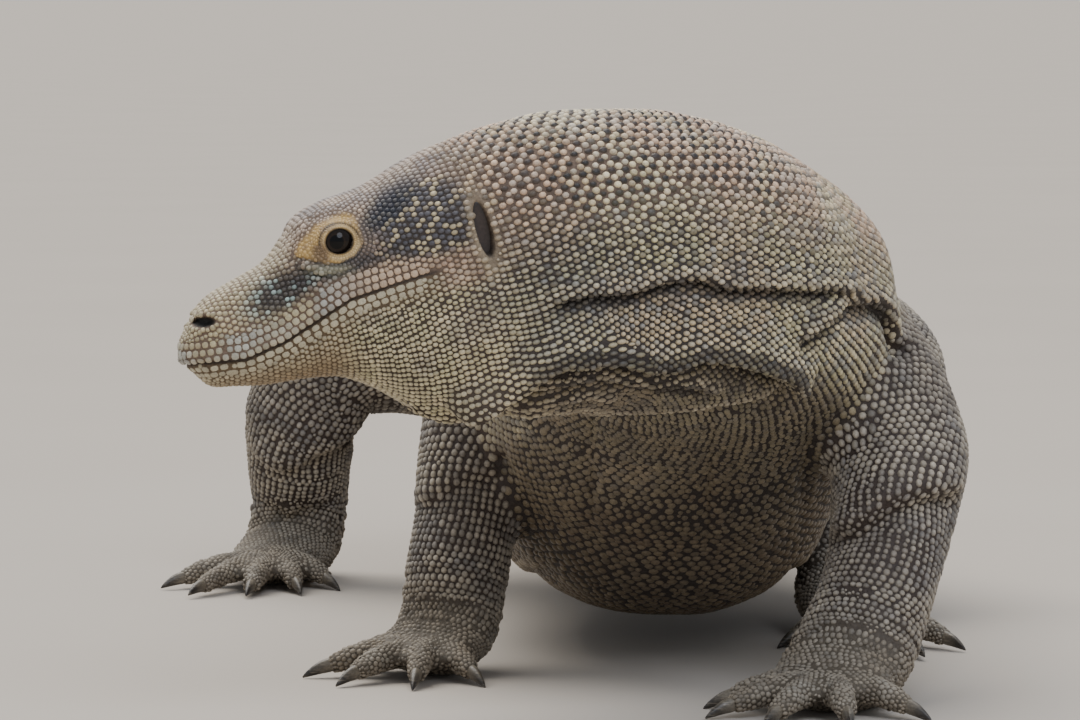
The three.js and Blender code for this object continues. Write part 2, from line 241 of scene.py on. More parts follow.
# Each leg: its stations, where elbow and wrist lie, its toes as [direction, length], their spread.
LEG_TABLE = {
    "fore_left": ([
        [116, 102, 226, 58, 58, 58],
        [147, 86, 211, 53, 53, 55],
        [183, 54, 176, 45, 46, 52],
        [203, 18, 138, 40, 38, 46],
        [203, -8, 104, 36, 36, 38],
        [196, -28, 72, 34, 33, 34],
        [186, -46, 45, 35, 28, 30],
        [174, -66, 25, 38, 20, 28],
        [163, -90, 15, 39, 14, 18],
        [158, -104, 10, 31, 8, 12],
    ], (3.1, 6.2), [[172, 30], [207, 38], [241, 42], [276, 38], [320, 30]], 25),
    "fore_right": ([
        [48, 128, 220, 56, 56, 56],
        [12, 130, 206, 52, 52, 54],
        [-18, 130, 180, 44, 44, 50],
        [-35, 122, 150, 38, 36, 44],
        [-41, 112, 117, 33, 34, 36],
        [-45, 102, 84, 31, 31, 32],
        [-50, 94, 54, 32, 28, 30],
        [-56, 84, 29, 35, 20, 27],
        [-66, 70, 15, 38, 14, 18],
        [-75, 60, 10, 30, 8, 12],
    ], (3.1, 6.2), [[300, 28], [264, 36], [229, 40], [194, 36], [154, 28]], 24),
    "hind_left": ([
        [96, 612, 168, 72, 72, 72],
        [140, 568, 168, 66, 66, 66],
        [190, 500, 168, 54, 54, 54],
        [224, 446, 154, 42, 44, 38],
        [228, 408, 124, 38, 42, 32],
        [216, 366, 84, 35, 37, 33],
        [201, 324, 50, 33, 28, 32],
        [195, 286, 26, 34, 20, 28],
        [202, 240, 15, 35, 14, 18],
        [208, 216, 10, 28, 8, 12],
    ], (3.3, 6.2), [[220, 28], [246, 44], [266, 58], [286, 68], [312, 44]], 28),
    "hind_right": ([
        [32, 624, 166, 72, 72, 72],
        [-24, 606, 166, 64, 66, 66],
        [-84, 584, 166, 54, 54, 54],
        [-136, 566, 154, 44, 46, 38],
        [-160, 573, 120, 40, 42, 34],
        [-166, 594, 84, 37, 38, 35],
        [-167, 606, 52, 35, 30, 33],
        [-171, 594, 27, 35, 21, 28],
        [-182, 562, 15, 35, 14, 18],
        [-187, 540, 10, 28, 8, 12],
    ], (3.3, 6.3), [[310, 28], [284, 44], [262, 60], [243, 72], [214, 46]], 28),
}
PALM_HEIGHT, KNUCKLE_HEIGHT, TIP_HEIGHT = 13, 15, 7.5
DIGIT_THICK = [10.5, 9.5, 8.2, 6.2]
CLAW_LONG, CLAW_THICK, CLAW_GAP = 17, 4.6, 0.3


def leg_hint(stations, cuts):
    """Rings stand to the plane of the leg's bend, and level in the foot."""
    places = np.array(stations, float)[:, :3]
    elbow, wrist = int(cuts[0]), int(cuts[1])
    level = np.cross(UP, places[-1] - places[-2])
    bend = unit(np.cross(places[elbow] - places[0], places[wrist] - places[elbow]))
    bend = bend * (np.sign(dot(bend, level)) or 1)
    level = unit(level)

    def hint(_, station):
        share = ease(station, elbow, wrist)[:, None]
        return bend * (1 - share) + level * share
    return hint


def digit_line(palm, spread, toe):
    direction, long = toe
    angle = math.radians(direction)
    out = np.array([math.cos(angle), math.sin(angle), 0.0])
    places = [
        (spread * 0.2, PALM_HEIGHT),
        (spread * 0.6 + long * 0.35, KNUCKLE_HEIGHT),
        (spread * 0.85 + long * 0.7, PALM_HEIGHT - 1),
        (spread + long, TIP_HEIGHT),
    ]
    stations = []
    for (distance, height), half in zip(places, DIGIT_THICK):
        x, y = palm[0] + out[0] * distance, palm[1] + out[1] * distance
        stations.append([x, y, height, half, half, half, 0.95])
    return BodyLine(stations)


LEGS = {}
DIGITS = {}
for leg_name, (leg_stations, leg_cuts, leg_toes, leg_spread) in LEG_TABLE.items():
    LEGS[leg_name] = BodyLine(leg_stations, leg_hint(leg_stations, leg_cuts))
    for toe_number, leg_toe in enumerate(leg_toes):
        line = digit_line(leg_stations[-2], leg_spread, leg_toe)
        DIGITS[f"{leg_name}_{toe_number + 1}"] = line

LINES = [SPINE, *LEGS.values(), *DIGITS.values()]   # a point's owner is its line's place in this
FIRST_DIGIT, TOES = 1 + len(LEGS), 5


def digits_of(leg_number):
    """The numbers of a leg's digits among the lines."""
    first = FIRST_DIGIT + TOES * (leg_number - 1)
    return range(first, first + TOES)


# ---- skin -------------------------------------------------------------------------------------
FLESH = [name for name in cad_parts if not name.startswith(("eye_", "eardrum_", "claw_"))]
VOXEL = 5.0 * MM
CLOSE_CUTS = 0.5 * MM   # each copy grows by this, so that the thin cuts between nodes close


def coordinates(mesh):
    """A mesh's vertices in millimetres."""
    flat = np.empty(len(mesh.vertices) * 3)
    mesh.vertices.foreach_get("co", flat)
    return flat.reshape(-1, 3) / MM


def set_coordinates(mesh, points):
    mesh.vertices.foreach_set("co", (points * MM).ravel())
    mesh.update()


def corners(mesh):
    flat = np.empty(len(mesh.loops), np.int64)
    mesh.loops.foreach_get("vertex_index", flat)
    return flat


def vertex_normals(points, triangles):
    a, b, c = (points[triangles[:, k]] for k in range(3))
    face = np.cross(b - a, c - a)
    total = np.zeros_like(points)
    for k in range(3):
        for axis in range(3):
            total[:, axis] += np.bincount(triangles[:, k], face[:, axis], len(points))
    return unit(total)


class Sheet:
    """A triangle mesh held as arrays, in millimetres, while its vertices are moved."""

    def __init__(self, mesh):
        self.points = coordinates(mesh)
        self.triangles = corners(mesh).reshape(-1, 3)
        pairs = np.concatenate([self.triangles[:, ends] for ends in ([0, 1], [1, 2], [2, 0])])
        self.edges = np.unique(np.sort(pairs, axis=1), axis=0)
        ends = self.edges.ravel()
        self.degree = np.maximum(np.bincount(ends, minlength=len(self.points)), 1)

    def neighbours_mean(self, values):
        total = np.zeros_like(values)
        one, two = self.edges[:, 0], self.edges[:, 1]
        for axis in range(values.shape[1]):
            total[:, axis] += np.bincount(one, values[two, axis], len(values))
            total[:, axis] += np.bincount(two, values[one, axis], len(values))
        return total / self.degree[:, None]

    def relax(self, times, share):
        """Moves each vertex towards the middle of its neighbours, by its share."""
        share = np.broadcast_to(share, (len(self.points),))[:, None]
        for _ in range(times):
            self.points += share * (self.neighbours_mean(self.points) - self.points)

    def slide(self, times):
        """Evens out the vertices within the surface, without flattening it."""
        for _ in range(times):
            normal = self.normals()
            move = self.neighbours_mean(self.points) - self.points
            self.points += 0.5 * (move - normal * dot(move, normal)[:, None])

    def normals(self):
        return vertex_normals(self.points, self.triangles)


def joined_flesh():
    """One closed skin from copies of the flesh nodes and of what fills their pits."""
    grown = bmesh.new()
    for name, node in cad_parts.items():
        if name.startswith("claw_"):
            continue
        piece = bmesh.new()
        piece.from_mesh(node.data)
        bmesh.ops.remove_doubles(piece, verts=piece.verts, dist=1e-6)
        piece.normal_update()
        for vertex in piece.verts:
            vertex.co += vertex.normal * CLOSE_CUTS
        copy = bpy.data.meshes.new("flesh_copy")
        piece.to_mesh(copy)
        piece.free()
        grown.from_mesh(copy)
        bpy.data.meshes.remove(copy)
    mesh = bpy.data.meshes.new("skin")
    grown.to_mesh(mesh)
    grown.free()
    skin = bpy.data.objects.new("skin", mesh)
    bpy.context.scene.collection.objects.link(skin)
    remesh = skin.modifiers.new("one skin", "REMESH")
    remesh.mode = "VOXEL"
    remesh.voxel_size = VOXEL
    settle_modifiers(skin)
    return skin


def settle_modifiers(piece):
    """Applies every modifier of the piece to its mesh."""
    view = bpy.context.evaluated_depsgraph_get()
    mesh = bpy.data.meshes.new_from_object(piece.evaluated_get(view))
    piece.modifiers.clear()
    old = piece.data
    piece.data = mesh
    bpy.data.meshes.remove(old)
    mesh.name = piece.name


def in_head(points):
    """Along, out to the left and height, from midway between the ears."""
    offset = points - EAR_CENTRE
    return dot(offset, FORWARD), dot(offset, LEFT), dot(offset, CROWN)


# ---- places on the head's side, along and up from midway between the ears --------------------------
LID_OPEN = (7.4, 6.7)       # half the opening between the lids
NOSTRIL, NOSTRIL_HALF = (153.5, -8.0), (5.4, 2.5)
EAR, EAR_HALF, EAR_FLOOR = (-2.0, 0.0), (4.2, 15.2), 46.4
PIT_LEAN = 3.0              # in degrees, of the ears and nostrils
MOUTH = np.array([
    [190, -28], [162, -28.5], [138, -33], [116, -29.7], [100, -24.5], [77, -16.8], [50, -15.2], [28, -14.5],
], float)[::-1]
# creases from the front corner of the eye: under the lower lid, and round the pouch below it
LID_CREASE = np.array([[101, 14.3], [92, 9.5], [84.6, 5.2], [76.8, 3.2], [68, 4.6], [61.5, 9.5]])
POUCH_CREASE = np.array([[100, 12], [94.8, 3.9], [87.6, -0.8], [78.1, -2.2], [69.3, -1.2], [61, 3.5]])
BROW_CREASE = np.array([[96, 22], [84, 27], [72, 27.5], [60, 24]])
OCHRE_TOP = [60, 66, 82.4, 93, 101, 106], [26, 29.5, 26.5, 19.5, 9, 5]    # the ochre patch's upper edge


def polar(along, height, centre, half, lean=0.0):
    """Distance from a centre in units of an ellipse's half sizes."""
    x, y = along - centre[0], height - centre[1]
    c, s = math.cos(math.radians(lean)), math.sin(math.radians(lean))
    return np.hypot((x * c + y * s) / half[0], (y * c - x * s) / half[1])


def from_eye(along, height):
    return polar(along, height, (EYE[0], EYE[2]), LID_OPEN)


def from_ear(along, height):
    return polar(along, height, EAR, EAR_HALF, PIT_LEAN)


def from_nostril(along, height):
    return polar(along, height, NOSTRIL, NOSTRIL_HALF, PIT_LEAN)


def within(along, height, centre, half, lean=0.0, soft=0.35):
    """1 inside an ellipse on the head's side, falling to 0 past its edge."""
    return ease(polar(along, height, centre, half, lean), 1 + soft, 1 - soft)


def from_path(along, height, path):
    """Distance on the head's side from a bent line."""
    best = np.full(len(along), 1e9)
    for (x0, y0), (x1, y1) in zip(path[:-1], path[1:]):
        dx, dy = x1 - x0, y1 - y0
        share = (((along - x0) * dx + (height - y0) * dy) / (dx * dx + dy * dy)).clip(0, 1)
        best = np.minimum(best, np.hypot(along - x0 - dx * share, height - y0 - dy * share))
    return best


def mouth_level(along):
    return np.interp(along, MOUTH[:, 0], MOUTH[:, 1])


def from_mouth(along, height):
    """Signed distance from the mouth line in side view, positive above it."""
    slope = (mouth_level(along + 2) - mouth_level(along - 2)) / 4
    return (height - mouth_level(along)) / np.sqrt(1 + slope**2)


# ---- the remeshed skin, split finer where it has fine forms ---------------------------------------
def wanted_edge(points):
    """How long an edge of the skin may be here, in millimetres."""
    along, out, height = in_head(points)
    on_head = (along > -22) & (along < 176) & (np.abs(out) < 75) & (np.abs(height + 30) < 100)
    size = np.full(len(points), 9.0)
    neck = np.flatnonzero((points[:, 1] < -600) & (points[:, 2] > 60))
    from_fold = np.array([FOLD_TREE.find(points[i])[2] for i in neck])
    size[neck] = np.where(from_fold < 9.5, 2.5, 9.0)
    size = np.where(on_head, 3.4, size)
    near_mouth = on_head & (along > 20) & (np.abs(from_mouth(along, height)) < 3.5)
    size = np.where(near_mouth, 1.3, size)
    eye = np.hypot(along - EYE[0], height - EYE[2])
    for reach, edge in ((23, 1.5), (11.5, 0.8)):
        size = np.where(on_head & (eye < reach) & (np.abs(out) > 12), edge, size)
    nostril = np.hypot((along - NOSTRIL[0]) / 1.5, height - NOSTRIL[1])
    size = np.where(on_head & (nostril < 6.5) & (np.abs(out) > 6), 0.9, size)
    ear = np.hypot((along - EAR[0]) / 0.6, (height - EAR[1]) / 1.25)
    size = np.where(on_head & (ear < 18) & (np.abs(out) > 30), 1.2, size)
    return size


def refine(mesh):
    """Splits the skin's edges until each is as short as its place asks."""
    fine = bmesh.new()
    fine.from_mesh(mesh)
    bmesh.ops.triangulate(fine, faces=fine.faces)
    for _ in range(3):
        fine.edges.ensure_lookup_table()
        ends = np.array([[*e.verts[0].co, *e.verts[1].co] for e in fine.edges]) / MM
        a, b = ends[:, :3], ends[:, 3:]
        long = np.linalg.norm(b - a, axis=1) > 1.35 * wanted_edge((a + b) / 2)
        split = [fine.edges[i] for i in np.flatnonzero(long)]
        if not split:
            break
        bmesh.ops.subdivide_edges(fine, edges=split, cuts=1, use_grid_fill=True)
        bmesh.ops.triangulate(fine, faces=[f for f in fine.faces if len(f.verts) > 3])
    bmesh.ops.dissolve_degenerate(fine, dist=1e-7, edges=fine.edges)
    bmesh.ops.triangulate(fine, faces=[f for f in fine.faces if len(f.verts) > 3])
    fine.to_mesh(mesh)
    fine.free()
    mesh.validate()


def largest_shell(mesh):
    """Leaves only the biggest connected shell."""
    shell = bmesh.new()
    shell.from_mesh(mesh)
    found = set()
    shells = []
    for start in shell.verts:
        if start in found:
            continue
        found.add(start)
        group, waiting = [], [start]
        while waiting:
            vertex = waiting.pop()
            group.append(vertex)
            for edge in vertex.link_edges:
                other = edge.other_vert(vertex)
                if other not in found:
                    found.add(other)
                    waiting.append(other)
        shells.append(group)
    shells.sort(key=len)
    for group in shells[:-1]:
        bmesh.ops.delete(shell, geom=group, context="VERTS")
    shell.to_mesh(mesh)
    shell.free()


def owners(points):
    """For each point, the line it belongs to, its place on that line and how near the next is.

    Returns (owner, station, angle, rival): owner counts SPINE, the four legs and the digits;
    rival is the gap to the second nearest surface, less that to the nearest."""
    best = np.full(len(points), 1e6)
    second = np.full(len(points), 1e6)
    owner = np.zeros(len(points), int)
    station = np.zeros(len(points))
    angle = np.zeros(len(points))
    for number, line in enumerate(LINES):
        room = 30 if number < FIRST_DIGIT else 14
        reach = line.sizes.max(1)[:, None] + room
        low, high = (line.places - reach).min(0), (line.places + reach).max(0)
        near = np.flatnonzero(np.all((points > low) & (points < high), axis=1))
        if len(near) == 0:
            continue
        at, turn, gap = line.locate(points[near])
        gap = np.abs(gap)
        closer = gap < best[near]
        second[near] = np.where(closer, best[near], np.minimum(second[near], gap))
        won = near[closer]
        best[won], owner[won], station[won], angle[won] = gap[closer], number, at[closer], turn[closer]
    return owner, station, angle, second - best


def draw_to_lines(sheet):
    """Brings the remeshed skin to the smooth sections of the lines, with soft fillets between them."""
    owner, station, angle, rival = owners(sheet.points)
    for number, line in enumerate(LINES):
        own = np.flatnonzero(owner == number)
        if len(own) == 0:
            continue
        at = station[own]
        share = np.ones(len(own))
        if number == 0:
            share = ease(at, 0.03, 0.3) * ease(at, SPINE.last - 0.2, SPINE.last - 1.6)
        elif number >= FIRST_DIGIT:
            share = ease(at, line.last - 0.02, line.last - 0.3)
        target = line.surface(at, angle[own], -COAT_DEPTH)
        sheet.points[own] += (target - sheet.points[own]) * share[:, None]
    room = np.where(owner >= FIRST_DIGIT, 4.0, 24.0)
    sheet.relax(14, 0.55 * ease(rival, room, room * 0.3))
    tips = (owner == 0) & ((station > SPINE.last - 1.7) | (station < 0.25))
    sheet.relax(6, np.where(tips, 0.5, 0.0))
    sheet.slide(3)
    sheet.points[:, 2] = np.maximum(sheet.points[:, 2], 0)
    return owner, station, angle


# ---- the head's forms ------------------------------------------------------------------------
# swellings and hollows: height, then centre, half sizes and lean on the head's side
HEAD_FORMS = [
    (2.6, (24, 10), (30, 22), 0),           # temple
    (2.4, (6, -34), (22, 30), 0),           # jaw muscle
    (1.9, (73, 14), (19, 16), -8),          # socket
    (2.4, (78, 28.5), (19, 5.0), -12),      # brow
    (-1.8, (110, -2), (20, 7), -20),        # hollow before the eye
    (1.2, (152, -4), (11, 8), 0),           # nostril
    (1.6, (50, -9), (12, 5), 5),            # corner of the mouth
]


def add_head_forms(lift, along, far, height):
    for rise, centre, half, lean in HEAD_FORMS:
        lift += rise * bell(polar(along, height, centre, half, lean), 1)
    lift += 0.9 * bell(height - 47 + 0.13 * along, 3) * bell(far - 17, 8) * ease(along, 100, 80)


def add_eye_folds(lift, along, far, height):
    """The pouch under the eye between its creases, wrinkles behind the eye, one along the brow."""
    for path, deep in ((LID_CREASE, 1.0), (POUCH_CREASE, 1.3)):
        lift -= deep * bell(from_path(along, height, path), 0.9) * (far > 15)
    middle_line = (LID_CREASE[1:-1] + POUCH_CREASE[1:-1]) / 2
    lift += 1.0 * bell(from_path(along, height, middle_line), 1.9) * (far > 15)
    fan = ease(along, 62, 58) * ease(along, 47, 53) * bell(height - 14, 9)
    lift += 0.45 * fan * np.sin(along * 2.1 + 0.12 * height)
    lift -= 0.7 * bell(from_path(along, height, BROW_CREASE), 0.9)


def add_mouth(lift, along, height):
    """Lips rolled to a crease, the lower one set a little in, and the wrinkles behind them."""
    mouth = from_mouth(along, height)
    there = ease(along, 26, 34)
    lift += there * (0.9 * bell(mouth - 3.2, 2.4) + 0.5 * bell(mouth + 4.2, 2.6))
    lift -= there * 0.9 * ease(mouth, 0.5, -1.2) * ease(mouth, -16, -6)
    lift -= there * 2.1 * bell(mouth, 0.9)
    fan = np.arctan2(height + 2, along + 2) * 13
    ring = np.hypot(along + 2, height + 2)
    fanned = ease(ring, 14, 22) * ease(ring, 52, 34) * ease(height, -6, -14)
    lift += 0.45 * fanned * np.sin(fan * 1.3 + 0.04 * ring)
    flare = bell(mouth + 9 + 0.1 * (60 - along), 6) * ease(along, 10, 26) * ease(along, 92, 60)
    lift += 0.5 * flare * np.sin((height * 0.75 + along * 0.36) * 0.9)


def add_rims(lift, along, far, nostril, ear):
    """Raised rims round nostril and ear."""
    lift += 0.9 * bell(nostril - 1.55, 0.4) * (far > 6)
    lift += (far > 30) * 1.7 * bell(ear - 1.35, 0.28) * ease(along, -1, 5)
    lift += (far > 30) * 0.8 * bell(ear - 1.3, 0.25) * ease(along, -1, -5)


def sink_pits(p, side, head, nostril, ear):
    """Pushes nostrils and ears straight in across the head."""
    far = np.abs(in_head(p)[1])
    depth = 5.0 * ease(nostril, 1.12, 0.55)
    p -= LEFT * (side * depth * head * (far > 6))[:, None]
    p -= FORWARD * (0.35 * depth * head * (far > 6))[:, None]
    sunk = np.minimum(far, EAR_FLOOR)
    p += LEFT * (side * (sunk - far) * ease(ear, 1.12, 0.74) * head)[:, None]


def set_lids(p, side, head):
    """Lays the rim of the lids on the ball, and the skin inside it behind the ball."""
    along, out, height = in_head(p)
    far = np.abs(out)
    away = np.hypot(along - EYE[0], height - EYE[2])
    open_at = from_eye(along, height)
    near = head & (away < 15) & (far > 12)
    margin = np.abs(open_at - 1) < 0.075
    scale = np.where(near & margin, 1.0 / np.maximum(open_at, 0.1), 1.0)
    p += FORWARD * ((along - EYE[0]) * (scale - 1))[:, None]
    p += CROWN * ((height - EYE[2]) * (scale - 1))[:, None]
    rim = EYE[1] + math.sqrt(EYE_RADIUS**2 - 7.0**2) + 0.35
    lid = rim + 0.35 * bell(open_at - 1.16, 0.12)
    lid_share = ease(open_at, 2.0, 1.15)
    target = far + (np.maximum(lid, far) - far) * lid_share
    groove = 0.8 * bell(open_at - 1.42, 0.07) * ease(height, 12, 19)
    target = target - groove
    inside = open_at < 0.96
    ball = EYE[1] + np.sqrt(np.maximum(EYE_RADIUS**2 - away**2, 0))
    target = np.where(inside, ball - 3.0, target)
    p += LEFT * (side * np.where(near, target - far, 0))[:, None]
    return near & inside


def shape_head(sheet, owner):
    """Moves the plain head into its forms, mouth, pits and lids; says which vertices lie in the eyes."""
    p = sheet.points
    along, out, height = in_head(p)
    side, far = np.sign(out), np.abs(out)
    head = (owner == 0) & (along > -60) & (along < 178)
    nostril, ear = from_nostril(along, height), from_ear(along, height)
    lift = np.zeros(len(p))
    add_head_forms(lift, along, far, height)
    add_eye_folds(lift, along, far, height)
    add_mouth(lift, along, height)
    add_rims(lift, along, far, nostril, ear)
    p += sheet.normals() * (lift * head)[:, None]
    sink_pits(p, side, head, nostril, np.where(far > 30, ear, 9.0))
    return set_lids(p, side, head)


# ---- the body's folds ------------------------------------------------------------------------
class Fold:
    """A fold that runs over the skin: a rolled crest with a crease beside it.

    The places are [station, degrees] on a line. roll and crease are [height or depth, width];
    the crease lies on the side that `below` points to."""

    def __init__(self, line, places, roll, crease, below=-UP, fade=18.0, hang=0.0):
        places = np.array(places, float)
        share = np.linspace(0, len(places) - 1, 24 * (len(places) - 1) + 1)
        padded = np.column_stack([places, np.zeros(len(places))])
        course = catmull(padded, share)[0]
        self.path = line.surface(course[:, 0], np.radians(course[:, 1]), -COAT_DEPTH)
        step = np.linalg.norm(np.diff(self.path, axis=0), axis=1)
        self.run = np.concatenate([[0], np.cumsum(step)])
        self.roll, self.crease, self.below, self.fade = roll, crease, np.array(below, float), fade
        self.hang = hang

    def lift(self, points):
        """How far the fold raises or sinks the skin at these points, and how it drags it over."""
        reach = 6 * self.roll[1] + 6 * self.crease[1]
        low, high = self.path.min(0) - reach, self.path.max(0) + reach
        near = np.flatnonzero(np.all((points > low) & (points < high), axis=1))
        lift, drag = np.zeros(len(points)), np.zeros(len(points))
        for i in range(0, len(near), 8000):
            part = near[i:i + 8000]
            offset = points[part][:, None, :] - self.path[None]
            away = np.linalg.norm(offset, axis=2)
            nearest = away.argmin(1)
            row = np.arange(len(part))
            side = np.sign(offset[row, nearest] @ self.below)
            x = away[row, nearest] * side
            along = self.run[nearest]
            share = ease(along, 0, self.fade) * ease(along, self.run[-1], self.run[-1] - self.fade)
            roll = self.roll[0] * np.where(x < 0, bell(x, 2.4 * self.roll[1]), bell(x, self.roll[1]))
            past = x - self.roll[1] - 0.6 * self.crease[1]
            crease = self.crease[0] * bell(past, np.where(past > 0, 2.6 * self.crease[1], self.crease[1]))
            lift[part] = share * (roll - crease)
            drag[part] = share * self.hang * bell(x, 1.5 * self.roll[1])
        return lift, drag[:, None] * self.below


def mirrored(places):
    return [[station, 180 - degrees] for station, degrees in places]


NECK_FOLD = [
    [18.6, -9], [18.2, -7], [17.8, -7.4], [17.5, -4.2],
    [17.2, -3.1], [16.97, -5.5], [16.3, -3.8], [15.6, -1],
]
GULAR_FOLD = [
    [21, -61], [20, -49], [19.1, -40], [18.5, -30.5], [18.28, -31], [17.85, -32],
    [17.4, -36], [17.08, -30], [16.75, -30.7], [16.35, -33.3], [16.0, -37], [15.75, -46],
]
UNDER_GULAR = [[20.4, -66], [19.4, -56], [18.6, -48], [18.0, -47], [17.4, -52], [16.9, -50], [16.4, -54]]
THROAT_LINE = [[22.4, -66], [21.2, -76], [20.2, -72], [19.2, -64], [18.3, -62], [17.4, -70]]
THROAT_EDGE = [
    [19.4, -64], [18.7, -76], [17.9, -85], [17.1, -84],
    [16.6, -74], [16.3, -60], [15.95, -48], [15.9, -36],
]
SHOULDER_FOLD = [[16.2, -26], [16.0, -16], [15.8, -6.5], [15.3, -1], [14.9, -8], [14.75, -24]]
FLANK_FOLD = [[13.6, -30], [13, -34], [12.4, -30], [11.7, -33], [11, -30], [10.3, -31]]
FLANK_LOW = [[13.2, -52], [12.6, -50], [12, -55], [11.4, -52]]
ELBOW_FOLD = [[4.35, 110], [4.45, 70], [4.15, 25], [3.9, -15], [3.62, -60], [3.6, -95]]


def body_folds():
    """Every fold of the trunk, neck and limbs, the left ones mirrored to the right."""
    folds = []
    for side in (list, mirrored):
        folds += [
            Fold(SPINE, side(NECK_FOLD), (4.2, 2.9), (4.4, 2.0), hang=3.0),
            Fold(SPINE, side(GULAR_FOLD), (8.6, 4.6), (12.0, 3.8), hang=7.5),
            Fold(SPINE, side(UNDER_GULAR), (4.2, 3.5), (4.6, 2.7), hang=2.5),
            Fold(SPINE, side(THROAT_LINE), (2.8, 2.8), (3.0, 2.1), hang=1.0),
            Fold(SPINE, side(SHOULDER_FOLD), (4.6, 3.8), (6.5, 3.0), hang=2.0),
            Fold(SPINE, side(THROAT_EDGE), (4.0, 7.0), (8.0, 5.0), below=(0, 0.6, -0.8)),
            Fold(SPINE, side(FLANK_FOLD), (3.4, 7.0), (3.0, 4.5)),
            Fold(SPINE, side(FLANK_LOW), (2.0, 6.0), (1.8, 4.0)),
        ]
    for name, leg in LEGS.items():
        down = leg.places[6] - leg.places[3]
        height = 8.5 if name == "fore_left" else 4.0
        cut = height * 0.7
        folds.append(Fold(leg, ELBOW_FOLD, (height, 8.0), (cut, 3.6), unit(down), 30, cut))
    return folds


def hashed(x, y, z, seed):
    n = (x * 73856093) ^ (y * 19349663) ^ (z * 83492791) ^ (seed * 2654435761)
    n &= 0x7FFFFFFF
    n = ((n ^ (n >> 13)) * 1274126177) & 0x7FFFFFFF
    return ((n ^ (n >> 16)) & 0xFFFFFF) / float(0xFFFFFF)


def mottle(points, size, seed):
    """Smooth noise from 0 to 1 whose patches are about size across."""
    q = points / size
    cell = np.floor(q).astype(np.int64)
    u = q - cell
    u = u * u * (3 - 2 * u)
    total = np.zeros(len(points))
    for dx in (0, 1):
        for dy in (0, 1):
            for dz in (0, 1):
                share = (u[:, 0] if dx else 1 - u[:, 0]) * (u[:, 1] if dy else 1 - u[:, 1])
                share = share * (u[:, 2] if dz else 1 - u[:, 2])
                total += share * hashed(cell[:, 0] + dx, cell[:, 1] + dy, cell[:, 2] + dz, seed)
    return total


def shape_body(sheet, owner, station, angle):
    """Folds, wrinkles and slack of the skin behind the head."""
    p = sheet.points
    normal = sheet.normals()
    lift = np.zeros(len(p))
    hang = np.zeros((len(p), 3))
    for fold in FOLDS:
        rise, drag = fold.lift(p)
        lift += rise
        hang += drag
    up = np.sin(angle)
    body = owner == 0
    behind = body & (station < HEAD_AT + 1)
    # slack, in soft undulations
    soft = (mottle(p, 62, 3) - 0.5) * 3.0 + (mottle(p, 24, 5) - 0.5) * 1.4
    lift += np.where(behind | ((owner > 0) & (owner < FIRST_DIGIT)), soft, 0)
    # the throat sags inward between its folds, crossed by fine oblique wrinkles
    throat = behind * ease(station, 15.8, 16.6) * ease(up, -0.5, -0.75)
    lift -= 1.6 * throat
    oblique = np.sin(np.degrees(angle) * 0.42 + station * 9.0 + 2.2 * mottle(p, 30, 9))
    wrinkles = 0.55 * oblique * body * ease(station, 15.5, 17) * ease(station, 22.5, 20.5)
    lift += wrinkles * ease(up, -0.35, -0.6)
    # upright creases on the chest between the fore legs
    for x, width in ((21, 3.0), (90, 3.2), (148, 3.0), (-36, 3.0)):
        band = ease(station, 13.6, 14.4) * ease(station, 16.6, 16.0) * ease(up, -0.7, -0.85)
        lift -= 2.6 * body * band * bell(p[:, 0] - (x - ORIGIN[0] + 6) - 4 * mottle(p, 40, 12), width)
    # the inner side of the neck's bend gathers in upright folds
    inner = behind * ease(station, 14.8, 15.6) * ease(station, 18.6, 17.8)
    inner = inner * ease(np.cos(angle), -0.55, -0.85)
    lift += 2.2 * inner * np.sin(station * 11 + 2.5 * mottle(p, 40, 14))
    # ring wrinkles at elbow, wrist, knee and ankle
    for number in range(1, len(LEGS) + 1):
        own = owner == number
        phase = station * 17 + 2.6 * mottle(p, 26, 20 + number) + 1.2 * np.cos(angle)
        ring = np.minimum(np.sin(phase), 0.35)
        at_wrist = ease(station, 5.3, 6.1) * ease(station, 7.9, 7.2)
        at_elbow = ease(station, 3.9, 4.3) * ease(station, 5.2, 4.7)
        lift += own * ring * (1.5 * at_wrist + 0.6 * at_elbow)
        knobs = (mottle(p, 9, 30) - 0.5) * 1.6
        lift += own * knobs * ease(station, 6.8, 7.6)
    toes = owner >= FIRST_DIGIT
    joints = np.minimum(np.sin(station * 9.5), 0.4)
    lift += toes * (joints * 0.55 + (mottle(p, 6, 31) - 0.5) * 0.9) * ease(station, 0.2, 0.8)
    lift *= ease(p[:, 2], 0.5, 6)
    p += normal * lift[:, None] + hang
    p[:, 2] = np.maximum(p[:, 2], 0)


FOLDS = body_folds()
FOLD_TREE = kdtree.KDTree(sum(len(fold.path) for fold in FOLDS))
for i, place in enumerate(np.concatenate([fold.path for fold in FOLDS])):
    FOLD_TREE.insert(place, i)
FOLD_TREE.balance()
FOLD_BELOW = np.concatenate([np.repeat(fold.below[None], len(fold.path), axis=0) for fold in FOLDS])
FOLD_DEPTH = np.concatenate([
    fold.crease[0] * ease(fold.run, 0, fold.fade) * ease(fold.run, fold.run[-1], fold.run[-1] - fold.fade)
    for fold in FOLDS])


def at_folds(points):
    """How far each point is on a fold's pale lip, and how far into the painted shadow that the fold casts
    below its crease.
    """
    lip, crease = np.zeros(len(points)), np.zeros(len(points))
    for i, point in enumerate(points):
        near, index, away = FOLD_TREE.find(point)
        if away < 15:
            beyond = float((point - np.array(near)) @ FOLD_BELOW[index])
            depth = min(FOLD_DEPTH[index] / 4.0, 1.0)
            lip[i] = depth * bell(beyond - 0.5, 2.6) * ease(away, 11, 7)
            # painted shadow: a dark band past the crease, on the side the fold hangs over
            crease[i] = depth * ease(beyond, 2.0, 4.6) * ease(beyond, 15.0, 8.0)
    return lip, crease


